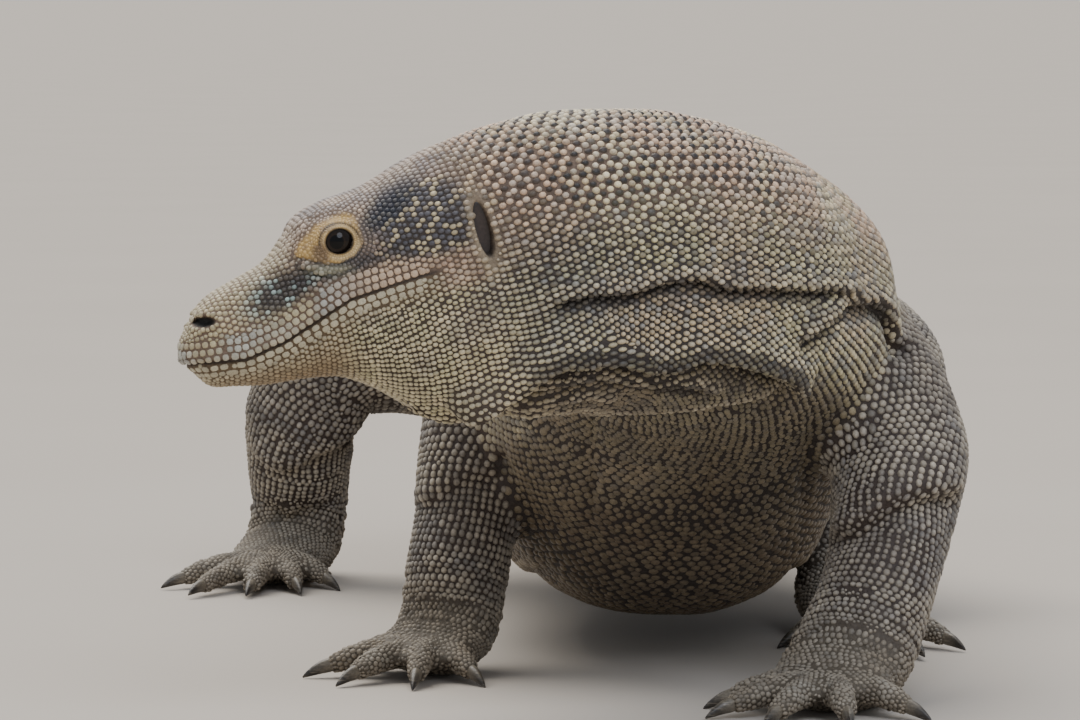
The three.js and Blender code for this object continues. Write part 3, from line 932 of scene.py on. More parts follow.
skin = joined_flesh()
largest_shell(skin.data)
refine(skin.data)
sheet = Sheet(skin.data)
print("skin", len(sheet.points), "vertices", len(sheet.triangles), "triangles")
owner, station, angle = draw_to_lines(sheet)
shape_body(sheet, owner, station, angle)
in_eye = shape_head(sheet, owner)


def kept_inside(points):
    """Points eased back from the sides, ends and top of the CAD box, with room for the coat."""
    room, soft = 1.9, 3.0
    low, high = (np.array(corner[:]) / MM for corner in CAD_BOX)
    for axis, (least, most) in enumerate(zip(low, high)):
        for edge, way in ((most - room - soft, 1), (least + room + soft, -1)):
            over = (points[:, axis] - edge) * way
            if axis == 2 and way < 0:
                continue
            points[:, axis] = np.where(over > 0, edge + way * soft * np.tanh(over / soft), points[:, axis])
    return points


sheet.points = kept_inside(sheet.points)
set_coordinates(skin.data, sheet.points)
for polygon in skin.data.polygons:
    polygon.use_smooth = True


# ---- markings and painted shade, the same for skin and scales ---------------------------------
def colour(hex_code):
    """An sRGB hex code as linear red, green and blue."""
    parts = [int(hex_code[i:i + 2], 16) / 255 for i in (1, 3, 5)]
    return np.array([c / 12.92 if c <= 0.04045 else ((c + 0.055) / 1.055) ** 2.4 for c in parts])


CREAM = colour("#d6c7a6")
STRAW = colour("#bdb68e")
PINK = colour("#c39f88")
CLAY = colour("#927c69")
BARK = colour("#40322d")
SOOT = colour("#2b2a2b")
INK = colour("#252a36")
SLATE = colour("#565c69")
ASH = colour("#a3a39c")
MIST = colour("#b9c2bd")
CYAN = colour("#8fb3b3")
OCHRE = colour("#c9a04e")
MUD = colour("#857865")
UMBER = colour("#7b643f")
RUST = colour("#94664a")


def mix(one, other, share):
    share = np.asarray(share, float)[..., None] if np.ndim(share) else share
    return one * (1 - share) + other * share


class Spots:
    """Places on the animal, with the patchy noise that their colours are drawn from."""

    def __init__(self, points, owner, station, angle, kind):
        self.points, self.owner, self.station = points, owner, station
        self.dark = (np.broadcast_to(kind, (len(points),)) == 0) * 1.0
        self.up = np.sin(angle)
        self.degrees = np.degrees(np.arctan2(self.up, np.abs(np.cos(angle))))
        self.coarse, self.middle = mottle(points, 46, 41), mottle(points, 17, 42)
        self.fine, self.speck = mottle(points, 7, 43), mottle(points, 3.1, 44)

    def fill(self, tone):
        return np.repeat(tone[None], len(self.points), axis=0)


def laid_over(tones, over, share):
    """Each of the tones mixed towards the one over it."""
    return tuple(mix(tone, other, share) for tone, other in zip(tones, over))


def trunk_tones(at):
    """Back, flanks and tail in clay and ash with rusty and dark patches; the belly's ochre brown darkened
    as painted shade.
    """
    spine_only = at.owner == 0
    centre = mix(mix(at.fill(CLAY), MUD, 0.5), ASH, 0.35 + 0.4 * at.middle)
    rusty = ease(at.coarse + 0.3 * (at.speck - 0.5), 0.45, 0.75) * ease(at.up, 0.0, 0.6)
    centre = mix(centre, RUST, 0.4 * rusty)
    centre = mix(centre, STRAW, 0.3 * ease(at.fine, 0.45, 0.7))
    centre = mix(centre, BARK, 0.5 * ease(at.middle + 0.5 * (at.speck - 0.5), 0.6, 0.85))
    centre = mix(centre, BARK, 0.6 * at.dark * ease(at.up, -0.3, 0.2))
    rim = mix(mix(at.fill(CLAY), CREAM, 0.3 * at.fine), BARK, 0.3 + 0.3 * at.speck)
    gap = mix(at.fill(BARK), CLAY, 0.2)
    band = ease(np.sin(at.station * 7.2 + 1.5 * at.coarse), 0.2, 0.8)
    centre = mix(centre, SLATE, 0.45 * ease(at.station, 8.0, 5.0) * spine_only)
    centre = mix(centre, SOOT, (0.35 + 0.35 * band) * ease(at.station, 6, 1.5) * spine_only)
    # painted shade: the underside of the chest, trunk and tail darkened to near black-brown, with darker
    # rims and gaps
    below = spine_only * ease(at.up, -0.25, -0.7) * ease(at.station, 17.2, 16.2)
    belly = mix(mix(at.fill(UMBER), BARK, 0.75), STRAW, 0.14 * at.fine)
    centre = mix(centre, belly, 0.95 * below)
    rim = mix(rim, mix(at.fill(UMBER), SOOT, 0.72), 0.9 * below)
    return centre, rim, mix(gap, SOOT, 0.7 * below)


def neck_tones(at):
    """Dark ovals ringed by pale granules above, pale beads on dark skin below, and the throat under the
    gular fold darkened as painted shade.
    """
    high = ease(at.degrees + 14 * (at.middle - 0.5) + 8 * (at.speck - 0.5), 0, 34)
    nape_rim = mix(at.fill(CREAM), PINK, 0.75 * ease(at.coarse, 0.35, 0.7))
    nape_rim = mix(nape_rim, STRAW, 0.5 * ease(at.middle, 0.55, 0.8))
    nape_rim = mix(nape_rim, ASH, 0.5 * ease(at.speck, 0.5, 0.75))
    nape_rim = mix(nape_rim, CLAY, 0.4 * ease(at.speck, 0.45, 0.2))
    bead = mix(at.fill(STRAW), CREAM, at.fine)
    bead = mix(bead, PINK, 0.35 * ease(at.coarse, 0.5, 0.75))
    bead = mix(bead, ASH, 0.6 * ease(at.speck, 0.5, 0.75))
    bead = mix(bead, SLATE, 0.45 * ease(at.middle + 0.8 * (at.speck - 0.5), 0.55, 0.8))
    smoky = bell(at.degrees + 6, 26) * ease(at.station, 17.4, 18.4) * ease(at.station, 20.6, 19.6)
    bead = mix(bead, SLATE, 0.4 * smoky)
    oval = mix(at.fill(BARK), SOOT * 0.7, 0.4 + 0.5 * ease(at.middle, 0.4, 0.6))
    fading = 0.6 * ease(at.station, 16.6, 15.4)
    oval = mix(oval, nape_rim, np.maximum(fading, 0.35 * ease(at.speck, 0.7, 0.85)))
    nape_rim = nape_rim * 1.12
    centre = mix(bead, mix(nape_rim, oval, at.dark), high)
    centre = mix(centre, BARK, 0.62 * at.dark * (1 - high) * ease(at.degrees, -34, 0))
    rim = mix(mix(bead, SOOT, 0.66), mix(mix(nape_rim, CLAY, 0.25), oval, 0.85 * at.dark), high)
    gap = mix(mix(at.fill(SOOT), CLAY, 0.12), mix(at.fill(CLAY), BARK, 0.5), high)
    # painted shade: the throat beneath the gular fold darkened towards bark brown
    shade = ease(at.degrees, -30, -46)
    throat = mix(mix(at.fill(MUD), STRAW, 0.25), BARK, 0.6)
    return mix(centre, throat, 0.85 * shade), rim, gap


def limb_tones(at, on_foot):
    """Pale beads and blue-grey patches, with a crust of mud on the feet."""
    patch = ease(at.coarse + 0.5 * (at.middle - 0.5), 0.42, 0.62)
    arm = mix(mix(mix(at.fill(ASH), CLAY, 0.4), CREAM, 0.45 * at.speck), SLATE, 0.22 * patch)
    flecked = ease(0.5 * at.middle + 0.9 * at.speck, 0.6, 0.95)
    arm = mix(arm, mix(at.fill(SLATE), BARK, 0.4), 0.6 * flecked)
    arm = mix(arm, MUD, 0.35 * ease(at.coarse, 0.45, 0.7))
    gap = mix(mix(at.fill(SOOT), CLAY, 0.16), BARK, 0.4)
    crust = mix(at.fill(MUD), ASH, 0.6 * at.middle)
    crust = mix(crust, SOOT, 0.65 * ease(at.fine + 0.3 * at.speck, 0.62, 0.9))
    arm = 0.9 * mix(arm, crust, 0.85 * on_foot)
    gap = mix(gap, mix(at.fill(MUD), SOOT, 0.55), on_foot)
    return arm, mix(arm, gap, 0.72), gap


def face_tones(at, along, height, mouth):
    """Crown, snout, temple, the dark bands and blotches, lips, jaw and cheek: scales and gaps."""
    def laid(tone, much, gap_tone, gap_much, share):
        return mix(face, tone, much * share), mix(gap, gap_tone, gap_much * share)

    face = mix(mix(at.fill(CLAY), PINK, 0.4), mix(at.fill(CREAM), ASH, 0.3), 0.45 * at.fine)
    gap = mix(at.fill(BARK), CLAY, 0.55)
    crown = ease(at.up, 0.75, 0.97)
    face = mix(face, mix(at.fill(PINK), ASH, 0.6), 0.7 * crown)
    face = mix(face, SLATE, 0.5 * crown * ease(at.middle, 0.55, 0.7))
    snout = ease(along, 88, 112) * ease(mouth, 0, 3)
    face, gap = laid(mix(at.fill(STRAW), PINK, 0.35 * at.middle), 0.75, CLAY, 0.4, snout)
    # temple: dark and cream scales, behind the blue-black band from the eye
    temple = within(along, height, (24, 12), (32, 24)) * ease(mouth, 4, 12)
    toned = ease(at.speck + 0.5 * (at.fine - 0.5) + 0.45 * at.dark, 0.44, 0.56)
    pale = mix(mix(at.fill(CREAM), STRAW, 0.5), CLAY, 0.15 + 0.3 * at.middle)
    face, gap = laid(mix(pale, mix(at.fill(SLATE), INK, 0.6), toned), 0.9, SOOT, 0.75, temple)
    dark_band = within(along, height, (43, 25), (19, 6.5), -28, 0.6)
    face, gap = laid(INK, 0.93 * (0.7 + 0.3 * ease(at.speck, 0.7, 0.4)), INK, 0.9, dark_band)
    # before the eye: blue-black and pale blue scales, mottled
    lore = within(along, height, (109, -3), (22, 10.5), -14, 0.6)
    blotch = ease(at.speck + 0.6 * (at.fine - 0.5), 0.38, 0.5)
    mottled = mix(mix(at.fill(CYAN), ASH, 0.35), mix(at.fill(INK), BARK, 0.35), blotch)
    face, gap = laid(mottled, 0.9, SOOT, 0.85, lore)
    under_eye = within(along, height, (72, 1.5), (27, 5.5), -4, 0.5) * ease(mouth, 6, 10)
    face, gap = laid(INK, 0.8 * ease(at.fine, 0.3, 0.55), SOOT, 0.8, under_eye)
    # lips, the mouth's corner, the lower jaw and the cheek
    lip = ease(along, 62, 92) * ease(mouth, 17, 12) * ease(mouth, -0.5, 0.5)
    warm = mix(at.fill(STRAW), CLAY, 0.25 + 0.4 * at.speck)
    lip_tone = mix(warm, mix(at.fill(MIST), CLAY, 0.35), ease(at.middle, 0.35, 0.65))
    lip_tone = mix(lip_tone, INK, 0.3 * ease(at.fine, 0.5, 0.8))
    face, gap = laid(lip_tone, 0.85, mix(at.fill(CLAY), BARK, 0.35), 0.75, lip)
    corner = within(along, height, (46, -9), (17, 6.5), 5, 0.4)
    face = mix(face, mix(at.fill(PINK), CREAM, 0.4), 0.7 * corner)
    jaw = ease(mouth, 0, -1.5) * ease(along, 20, 34)
    warm = mix(at.fill(STRAW), CLAY, 0.45 + 0.25 * at.middle)
    jaw_tone = mix(warm, mix(at.fill(MIST), STRAW, 0.5), 0.4 * ease(mouth, -14, -4))
    jaw_tone = mix(jaw_tone, UMBER, 0.75 * ease(height, -38, -52) * ease(along, 60, 100))
    face, gap = laid(jaw_tone, 0.9, mix(at.fill(UMBER), SOOT, 0.35), 0.7, jaw)
    cheek = ease(mouth, -6, -16) * ease(along, 96, 70)
    bead = mix(mix(at.fill(STRAW), CREAM, at.fine), SLATE, 0.35 * ease(at.middle, 0.5, 0.7))
    return laid(bead, 0.8, SOOT, 0.6, cheek)


def eye_tones(at, tones, along, out, height):
    """Ochre skin round the eye, the lids' cream ring and the pouch, with painted shade in the creases, in
    the eye's front corner and where the lids meet the ball.
    """
    def laid(tone, share):
        return tuple(mix(one, tone, share) for one in tones)

    floor_line = np.interp(along, LID_CREASE[::-1, 0], LID_CREASE[::-1, 1])
    brow_line = np.interp(along, *OCHRE_TOP)
    ochre_share = ease(height - brow_line, 1.0, -2.0) * ease(height - floor_line, 0.2, 1.6)
    ochre_share = ochre_share * ease(along, 59.5, 62.5) * ease(along, 106, 99) * ease(np.abs(out), 17, 24)
    ochre = mix(mix(at.fill(OCHRE), CREAM, 0.25 * at.fine), CLAY, 0.2 + 0.4 * ease(at.speck, 0.55, 0.85))
    tones = laid(ochre, 0.93 * ochre_share)
    eye = from_eye(along, height)
    near = (along > 40) * ease(eye, 4.0, 3.0)
    pouch = within(along, height, (84, 1.8), (13, 3.6), 14, 0.5)
    behind = within(along, height, (60, 11), (4.5, 9), 10, 0.5)
    # painted shade in the recess at the eye's front corner
    socket = within(along, height, (84.5, 11), (4.6, 5.2), 25, 0.5) * (eye > 0.98)
    tones = laid(mix(STRAW, SLATE, 0.45), 0.65 * pouch * near)
    tones = laid(mix(CLAY, INK, 0.6), 0.6 * behind * near)
    tones = laid(mix(CLAY, BARK, 0.6), 0.75 * socket * near)
    upper = bell(eye - 1.23, 0.1) * ease(height, 14, 19)
    lower = ease(eye, 1.1, 1.2) * ease(eye, 1.62, 1.5) * ease(height, 15, 10) * (1 - socket)
    lid_tone = mix(mix(at.fill(CREAM), OCHRE, 0.45), CLAY, 0.3 * ease(at.speck, 0.5, 0.8))
    tones = laid(lid_tone, np.minimum(0.85 * (upper + lower), 1) * near)
    # painted shade: dark in the creases under the eye, in the fold over the upper lid and where the lids
    # meet the ball
    crease = 0.9 * bell(from_path(along, height, LID_CREASE), 0.75)
    crease += 0.9 * bell(from_path(along, height, POUCH_CREASE), 0.9)
    crease += bell(eye - 1.44, 0.09) * ease(height, 13, 17) + ease(eye, 1.12, 1.02)
    return laid(SOOT, np.minimum(0.85 * crease, 1) * near)


def head_tones(at):
    """The face, then the eyes, then the skin beside the ears, then painted shade inside every opening."""
    along, out, height = in_head(at.points)
    mouth = from_mouth(along, height)
    tones = face_tones(at, along, height, mouth)
    tones = eye_tones(at, tones, along, out, height)
    ear, nostril = from_ear(along, height), from_nostril(along, height)
    tones = laid_over(tones, (mix(at.fill(CREAM), CLAY, 0.45),) * 2, 0.7 * ease(ear, 2.3, 1.3))
    # painted shade: near black inside the ears and nostrils and along the seam of the mouth
    in_ear = ease(ear, 1.05, 0.9) * (np.abs(out) > 25)
    hollow = np.maximum(in_ear, ease(nostril, 1.15, 0.8) * (np.abs(out) > 5))
    hollow = np.maximum(hollow, 0.8 * bell(mouth, 0.9) * ease(along, 26, 32))
    face, gap = laid_over(tones, (SOOT * 0.5,) * 2, hollow)
    return face, mix(face, gap, 0.6), gap


def paint(points, owner, station, angle, kind=1.0):
    """The colour of a scale's middle, of its rim, and of the skin between, at each place, with painted
    shade under folds, in creases and openings and on the underside.

    Scales of kind 0 are the dark ones, each ringed by pale ones of the other kinds."""
    at = Spots(points, owner, station, angle, kind)
    uneven = station + 2.2 * (at.coarse - 0.5) + 0.8 * (at.middle - 0.5)
    tones = laid_over(trunk_tones(at), neck_tones(at), (owner == 0) * ease(uneven, 12.8, 16.2))
    lip, crease = at_folds(points)
    centre = mix(tones[0], mix(at.fill(CREAM), ASH, 0.4), 0.55 * lip)
    tones = centre, mix(tones[1], CLAY, 0.5 * lip), tones[2]
    # painted shadow under each fold's lip, laid on scale middles, rims and gaps
    tones = laid_over(tones, (mix(at.fill(SOOT), BARK, 0.3),) * 3, 0.8 * crease)
    on_digit = owner >= FIRST_DIGIT
    uneven = station + 1.4 * (at.middle - 0.5)
    on_limb = np.where(on_digit, 1.0, (owner > 0) * ease(uneven, 0.4, 2.6))
    on_foot = np.where(on_digit, 1.0, ease(station, 5.8, 7.4)) * on_limb
    tones = laid_over(tones, limb_tones(at, on_foot), on_limb)
    on_head = (owner == 0) * ease(station, HEAD_AT - 0.3, HEAD_AT + 0.9)
    centre, rim, gap = laid_over(tones, head_tones(at), on_head)
    return centre, 0.94 * rim, 0.78 * gap


# ---- scales ---------------------------------------------------------------------------------
def scale_shape(sides, levels, peak, point=0.0):
    """One scale as arrays: vertices, triangles and how much of the middle's colour each takes.

    levels are (half size, height, middle's share) from the root up; x is the lie, tailward."""
    shape = bmesh.new()
    bmesh.ops.create_circle(shape, segments=sides, radius=1.0)
    ring = list(shape.verts)
    edges = list(shape.edges)
    shares = [levels[0][2]] * sides
    for vertex in ring:
        vertex.co.z = levels[0][1]
    for half, height, share in levels[1:]:
        grown = bmesh.ops.extrude_edge_only(shape, edges=edges)["geom"]
        ring = [v for v in grown if isinstance(v, bmesh.types.BMVert)]
        edges = [e for e in grown if isinstance(e, bmesh.types.BMEdge) and all(v in ring for v in e.verts)]
        for vertex in ring:
            turn = math.atan2(vertex.co.y, vertex.co.x)
            vertex.co = (half * math.cos(turn), half * math.sin(turn), height)
        shares += [share] * len(ring)
    top = bmesh.ops.edgeloop_fill(shape, edges=edges)["faces"]
    middle = bmesh.ops.poke(shape, faces=top)["verts"]
    for vertex in middle:
        vertex.co.z = peak
    shares += [1.0] * len(middle)
    bmesh.ops.triangulate(shape, faces=shape.faces)
    bmesh.ops.recalc_face_normals(shape, faces=shape.faces)
    shape.verts.index_update()
    places = np.array([v.co[:] for v in shape.verts])
    faces = np.array([[v.index for v in f.verts] for f in shape.faces])
    a, b, c = places[faces[:, 0]], places[faces[:, 1]], places[faces[:, 2]]
    if np.cross(b - a, c - a)[:, 2].sum() < 0:
        faces = faces[:, ::-1]
    shape.free()
    places[:, 0] += point * np.maximum(places[:, 0], 0) * (1 - np.abs(places[:, 1]))
    return places, faces, np.array(shares)


BEAD = scale_shape(8, [(1.0, -0.5, 0), (0.84, 0.45, 0.5), (0.48, 0.92, 1)], 1.05)
PLATE = scale_shape(8, [(1.02, -0.5, 0), (0.92, 0.55, 0.6), (0.7, 0.86, 1)], 0.95)
PEBBLE = scale_shape(7, [(1.0, -0.5, 0), (0.66, 0.72, 0.9)], 1.0)
KEEL = scale_shape(6, [(1.0, -0.45, 0), (0.62, 0.62, 0.9)], 1.05, point=0.3)


def girth_steps(line, station, wide, shift, fixed):
    """Angles that part a ring of the line into scales `wide` across, moved on by shift scales."""
    turn = np.linspace(-math.pi, math.pi, 121)
    ring = line.surface(np.full(len(turn), station), turn, -COAT_DEPTH)
    step = np.linalg.norm(np.diff(ring, axis=0), axis=1)
    middle = (turn[1:] + turn[:-1]) / 2
    width = wide(np.full(len(middle), station), middle)
    tally = np.concatenate([[0], np.cumsum(step / width)])
    count = fixed or max(6, int(round(tally[-1] / 6)) * 6)
    wanted = (np.arange(count) + shift) / count * tally[-1]
    angles = np.interp(wanted % tally[-1], tally, turn)
    own_width = np.interp(angles, middle, width) * tally[-1] / count
    return angles, own_width


def rows(line, start, end, long, wide, fixed=lambda station: 0):
    """Scale places in rows round the line, as an array of [station, angle, length, width, class].

    The rows are spaced on the outer side of a bend; on the inner side every second or third is
    left out. Of the three classes, those of one class touch none of their own."""
    fine = np.linspace(start, end, 600)
    turns = np.linspace(0, 2 * math.pi, 8, endpoint=False)
    advance = []
    for turn in turns:
        course = line.surface(fine, np.full(len(fine), turn), -COAT_DEPTH)
        advance.append(np.linalg.norm(np.diff(course, axis=0), axis=1))
    middle = (fine[1:] + fine[:-1]) / 2
    tally = np.concatenate([[0], np.cumsum(np.max(advance, axis=0) / long(middle))])
    count = max(1, int(round(tally[-1])))
    tally *= count / tally[-1]
    found = []
    for every in (1, 2, 3):
        for turn, row in enumerate(range(0, count, every)):
            at, low, high = (float(v) for v in np.interp(
                [row + every / 2, row, min(row + every, count)], tally, fine))
            angles, widths = girth_steps(line, at, wide, 0.5 * (turn % 2), fixed(at))
            lows, highs = (line.surface(np.full(len(angles), e), angles, -COAT_DEPTH) for e in (low, high))
            steps = np.linalg.norm(highs - lows, axis=1)
            share = steps / every / float(long(np.array([at]))[0])
            keep = np.where(share < 0.42, 3, np.where(share < 0.64, 2, 1)) == every
            kind = (np.arange(len(angles)) - turn // 2 - turn) % 3
            found.append(np.column_stack([np.full(len(angles), at), angles, steps, widths, kind])[keep])
    return np.concatenate(found)


class Roots:
    """Where scales stand on the skin: place, normal, lie, size and colours."""

    def __init__(self, number, places, reach, toward):
        """Drops each place on a line onto the skin; what lands on another part is left out."""
        line = LINES[number]
        at, turn = places[:, 0], places[:, 1]
        wobble = RANDOM.normal(size=(len(at), 3)).clip(-2, 2)
        under = (number == 0) * (at > 12) * (at < 20.5) * ease(np.sin(turn), -0.5, -0.8)
        loose = 0.065 + 0.06 * under       # least even under the throat, where the rows would swirl
        turn = turn + wobble[:, 0] * loose * places[:, 3] / np.maximum(line.sizes.max(1)[at.astype(int)], 4)
        speed = np.linalg.norm(line.frame(at)[1], axis=1)
        at = np.clip(at + wobble[:, 1] * loose * places[:, 2] / np.maximum(speed, 1), 0, line.last)
        base = line.surface(at, turn, -COAT_DEPTH)
        out = line.outward(at, turn)
        along = line.frame(at)[2] * toward
        hits = np.full(base.shape, np.nan)
        triangle = np.zeros(len(base), int)
        for i, (start, way) in enumerate(zip((base + out * reach) * MM, -out)):
            hit, _, index, _ = SKIN_TREE.ray_cast(Vector(start), Vector(way), 2.4 * reach * MM)
            if hit is not None:
                hits[i] = hit[:]
                triangle[i] = index
        good = ~np.isnan(hits[:, 0])
        hits = hits / MM
        normal = unit(SKIN_NORMALS[sheet.triangles[triangle]].mean(1))
        good &= dot(normal, out) > 0.15
        good &= ~((hits[:, 2] < 1.5) & (normal[:, 2] < -0.5))
        keep = np.flatnonzero(good)
        whose, station, angle, _ = owners(hits[keep])
        same = whose == number
        keep, self.station, self.angle = keep[same], station[same], angle[same]
        self.place, self.normal = hits[keep], normal[keep]
        self.lie = unit(along[keep] - self.normal * dot(along[keep], self.normal)[:, None])
        self.long, self.wide, self.kind = places[keep, 2:5].T.copy()
        self.high = np.full(len(keep), 0.9)
        self.tilt = np.zeros(len(keep))
        self.grow = 1 + 0.06 * RANDOM.normal(size=len(keep)).clip(-2, 2)
        whose = np.full(len(keep), number)
        self.centre, self.rim, _ = paint(self.place, whose, self.station, self.angle, self.kind)
        shade = 1 + 0.13 * RANDOM.normal(size=(len(keep), 1)).clip(-2, 2)
        self.centre, self.rim = self.centre * shade, self.rim * (1 + 0.5 * (shade - 1))
        self.number = whose

    def pick(self, chosen):
        """The same roots, only those chosen."""
        other = object.__new__(Roots)
        for name, value in vars(self).items():
            setattr(other, name, value[chosen])
        return other


def joined(parts):
    """Several sets of roots as one."""
    whole = object.__new__(Roots)
    for name in vars(parts[0]):
        setattr(whole, name, np.concatenate([getattr(part, name) for part in parts]))
    return whole


def spaced(roots):
    """The roots without those that fall on a neighbour, and crowded ones made smaller."""
    tree = kdtree.KDTree(len(roots.place))
    for i, place in enumerate(roots.place):
        tree.insert(place, i)
    tree.balance()
    near = np.array([tree.find_n(place, 2)[1][1:] for place in roots.place])
    size = np.minimum(roots.long, roots.wide)
    crowded = (near[:, 1] < 0.5 * size) & (near[:, 0] < np.arange(len(size)))
    fit = (near[:, 1] / (0.98 * size)).clip(0.62, 1.0)
    roots.long, roots.wide = roots.long * fit, roots.wide * fit
    return roots.pick(~crowded)


def unwrapped(roots, low, high):
    """Each root's place on the skin unrolled along its line; toes lie in strips beside the leg."""
    turn = roots.angle / (2 * math.pi) + 0.5
    broad = 0.96 if roots.number[0] == 0 else 0.6
    along = 0.02 + broad * (roots.station - low) / (high - low)
    toe = (roots.number - FIRST_DIGIT) % TOES
    on_toe = roots.number >= FIRST_DIGIT
    along = np.where(on_toe, 0.66 + 0.32 * roots.station / 3, along)
    around = np.where(on_toe, (toe + 0.05 + 0.9 * turn) / TOES, turn)
    return np.column_stack([along, 0.02 + 0.96 * around]).clip(0.004, 0.996)


def lay_scales(name, parts):
    """One joined mesh of scales from (shape, roots) pairs."""
    places, faces, tints, unwraps = [], [], [], []
    offset = 0
    stations = np.concatenate([roots.station[roots.number < FIRST_DIGIT] for _, roots in parts])
    low, high = stations.min(), stations.max() + 0.01
    for (shape, triangles, share), roots in parts:
        count = len(roots.place)
        if count == 0:
            continue
        across = np.cross(roots.normal, roots.lie)
        x = shape[None, :, 0] * (roots.long * 0.6 * roots.grow)[:, None]
        y = shape[None, :, 1] * (roots.wide * 0.49 * roots.grow)[:, None]
        z = shape[None, :, 2] * roots.high[:, None] + roots.tilt[:, None] * x
        place = roots.place[:, None] + roots.lie[:, None] * x[..., None] + across[:, None] * y[..., None]
        place = place + roots.normal[:, None] * z[..., None]
        tint = roots.rim[:, None] * (1 - share)[None, :, None]
        tint = tint + roots.centre[:, None] * share[None, :, None]
        index = triangles[None] + (np.arange(count) * len(shape))[:, None, None] + offset
        patch = unwrapped(roots, low, high)[:, None] + 0.0014 * shape[None, :, :2]
        places.append(place.reshape(-1, 3))
        tints.append(tint.reshape(-1, 3))
        unwraps.append(patch.reshape(-1, 2))
        faces.append(index.reshape(-1, 3))
        offset += count * len(shape)
    places, faces = np.concatenate(places), np.concatenate(faces)
    places = np.clip(places, *(np.array(corner[:]) / MM for corner in CAD_BOX))
    mesh = bpy.data.meshes.new(name)
    mesh.vertices.add(len(places))
    mesh.loops.add(faces.size)
    mesh.polygons.add(len(faces))
    mesh.vertices.foreach_set("co", (places * MM).ravel())
    mesh.loops.foreach_set("vertex_index", faces.ravel())
    mesh.polygons.foreach_set("loop_start", np.arange(0, faces.size, 3))
    mesh.polygons.foreach_set("use_smooth", np.ones(len(faces), bool))
    mesh.update(calc_edges=True)
    add_tint(mesh, np.concatenate(tints))
    bake = mesh.uv_layers.new(name="OFBake")
    bake.data.foreach_set("uv", np.concatenate(unwraps)[faces.ravel()].ravel())
    piece = bpy.data.objects.new(name, mesh)
    bpy.context.scene.collection.objects.link(piece)
    print(name, len(faces), "triangles")
    return piece


def add_tint(mesh, tones):
    tint = mesh.attributes.new("tint", "FLOAT_COLOR", "POINT")
    tint.data.foreach_set("color", np.column_stack([tones.clip(0, 1), np.ones(len(tones))]).ravel())


SKIN_NORMALS = sheet.normals()
SKIN_TREE = BVHTree.FromPolygons((sheet.points * MM).tolist(), sheet.triangles.tolist())


def steady(value):
    return lambda station, *angle: np.full(len(station), float(value))


def by_station(stations, values):
    return lambda station, *angle: np.interp(station, stations, values)


def spine_width(station, angle):
    """Wide over the nape, narrow on the side and throat; broad plates under the belly."""
    up = np.sin(angle)
    neck = np.interp(up, [-1, -0.5, 0.0, 0.6, 1], [3.8, 3.6, 3.9, 4.9, 5.1])
    trunk = np.interp(up, [-1, -0.4, 0.3, 1], [7.0, 6.4, 5.8, 6.2])
    head = np.interp(up, [-1, -0.5, 0.5, 1], [3.5, 3.1, 3.2, 3.6])
    size = mix_scalar(neck, trunk, ease(station, 16.0, 14.0))
    size = mix_scalar(size, head, ease(station, 18.4, 19.6))
    tail = np.interp(station, [0, 2, 5, 8.4], [2.6, 4.0, 4.8, 5.8])
    return mix_scalar(size, tail, ease(station, 9.2, 7.8))


def mix_scalar(one, other, share):
    return one * (1 - share) + other * share


def spine_count(station):
    """The same number of scales goes round all of the trunk and the neck."""
    return 126 if 8.4 < station < 19.0 else 0


spine_long = by_station(
    [0, 2, 8, 10, 13.5, 15, 16.4, 18.4, 19.4, 24, 31],
    [4.0, 5.0, 6.2, 6.6, 6.4, 5.4, 4.5, 4.3, 3.6, 3.3, 3.0],
)
spine = Roots(0, rows(SPINE, 0.06, SPINE.last - 0.06, spine_long, spine_width, spine_count), 17, -1)
degrees = np.degrees(np.arctan2(np.sin(spine.angle), np.abs(np.cos(spine.angle))))
spine.high = np.interp(spine.station, [0, 2, 8, 15, 17, 18.6, 20], [0.5, 0.8, 1.2, 1.25, 1.4, 1.3, 0.9])
spine.high *= np.where(degrees < -35, 0.75, 1.0)
spine.high *= 1 - 0.35 * ease(degrees, 50, 75) * ease(spine.station, 19, 20.5)
spine.tilt = np.interp(spine.station, [0, 8, 14, 16, 31], [0.13, 0.1, 0.09, 0.06, 0.04])
nape = ease(degrees, 14, 34) * ease(spine.station, 8, 9) * ease(spine.station, 19.6, 19.0)
is_dark = spine.kind == 0
spine.long *= 1 + nape * np.where(is_dark, 0.16, -0.08)
spine.wide *= 1 + nape * np.where(is_dark, 0.08, -0.04)
spine.high *= 1 + nape * np.where(is_dark, 0.0, 0.15)


def left_bare(points, own, lips_too=True):
    """Where the rows leave the head to the lids, lips, ears and nostrils."""
    along, out, height = in_head(points)
    mouth = from_mouth(along, height)
    eye, ear, nostril = (far(along, height) for far in (from_eye, from_ear, from_nostril))
    bare = (np.abs(mouth) < 1.6) & (along > 26)
    lip_band = (along > 38) & (mouth < np.where(along > 58, 12.5, 8.5)) & (mouth > -8)
    if lips_too:
        yellow = within(along, height, (82, 19), (21, 9), -16, 0.15) * (np.abs(out) > 20) > 0.5
        bare |= (((eye < 2.6) | yellow) & (along > 40)) | lip_band
    else:
        bare |= ((eye < 1.2) & (along > 40)) | (lip_band & (mouth < 9) & (mouth > -5) & (along < 140))
    bare |= (ear < 1.35) & (np.abs(out) > 25)
    bare |= (nostril < 1.3) & (np.abs(out) > 5)
    return bare & own


spine = spaced(spine.pick(~left_bare(spine.place, spine.station > 18)))


SQUARE = (lambda shape: (np.column_stack([
    np.sign(shape[0][:, :2]) * np.abs(shape[0][:, :2]) ** 0.72, shape[0][:, 2]]), *shape[1:]))(PLATE)


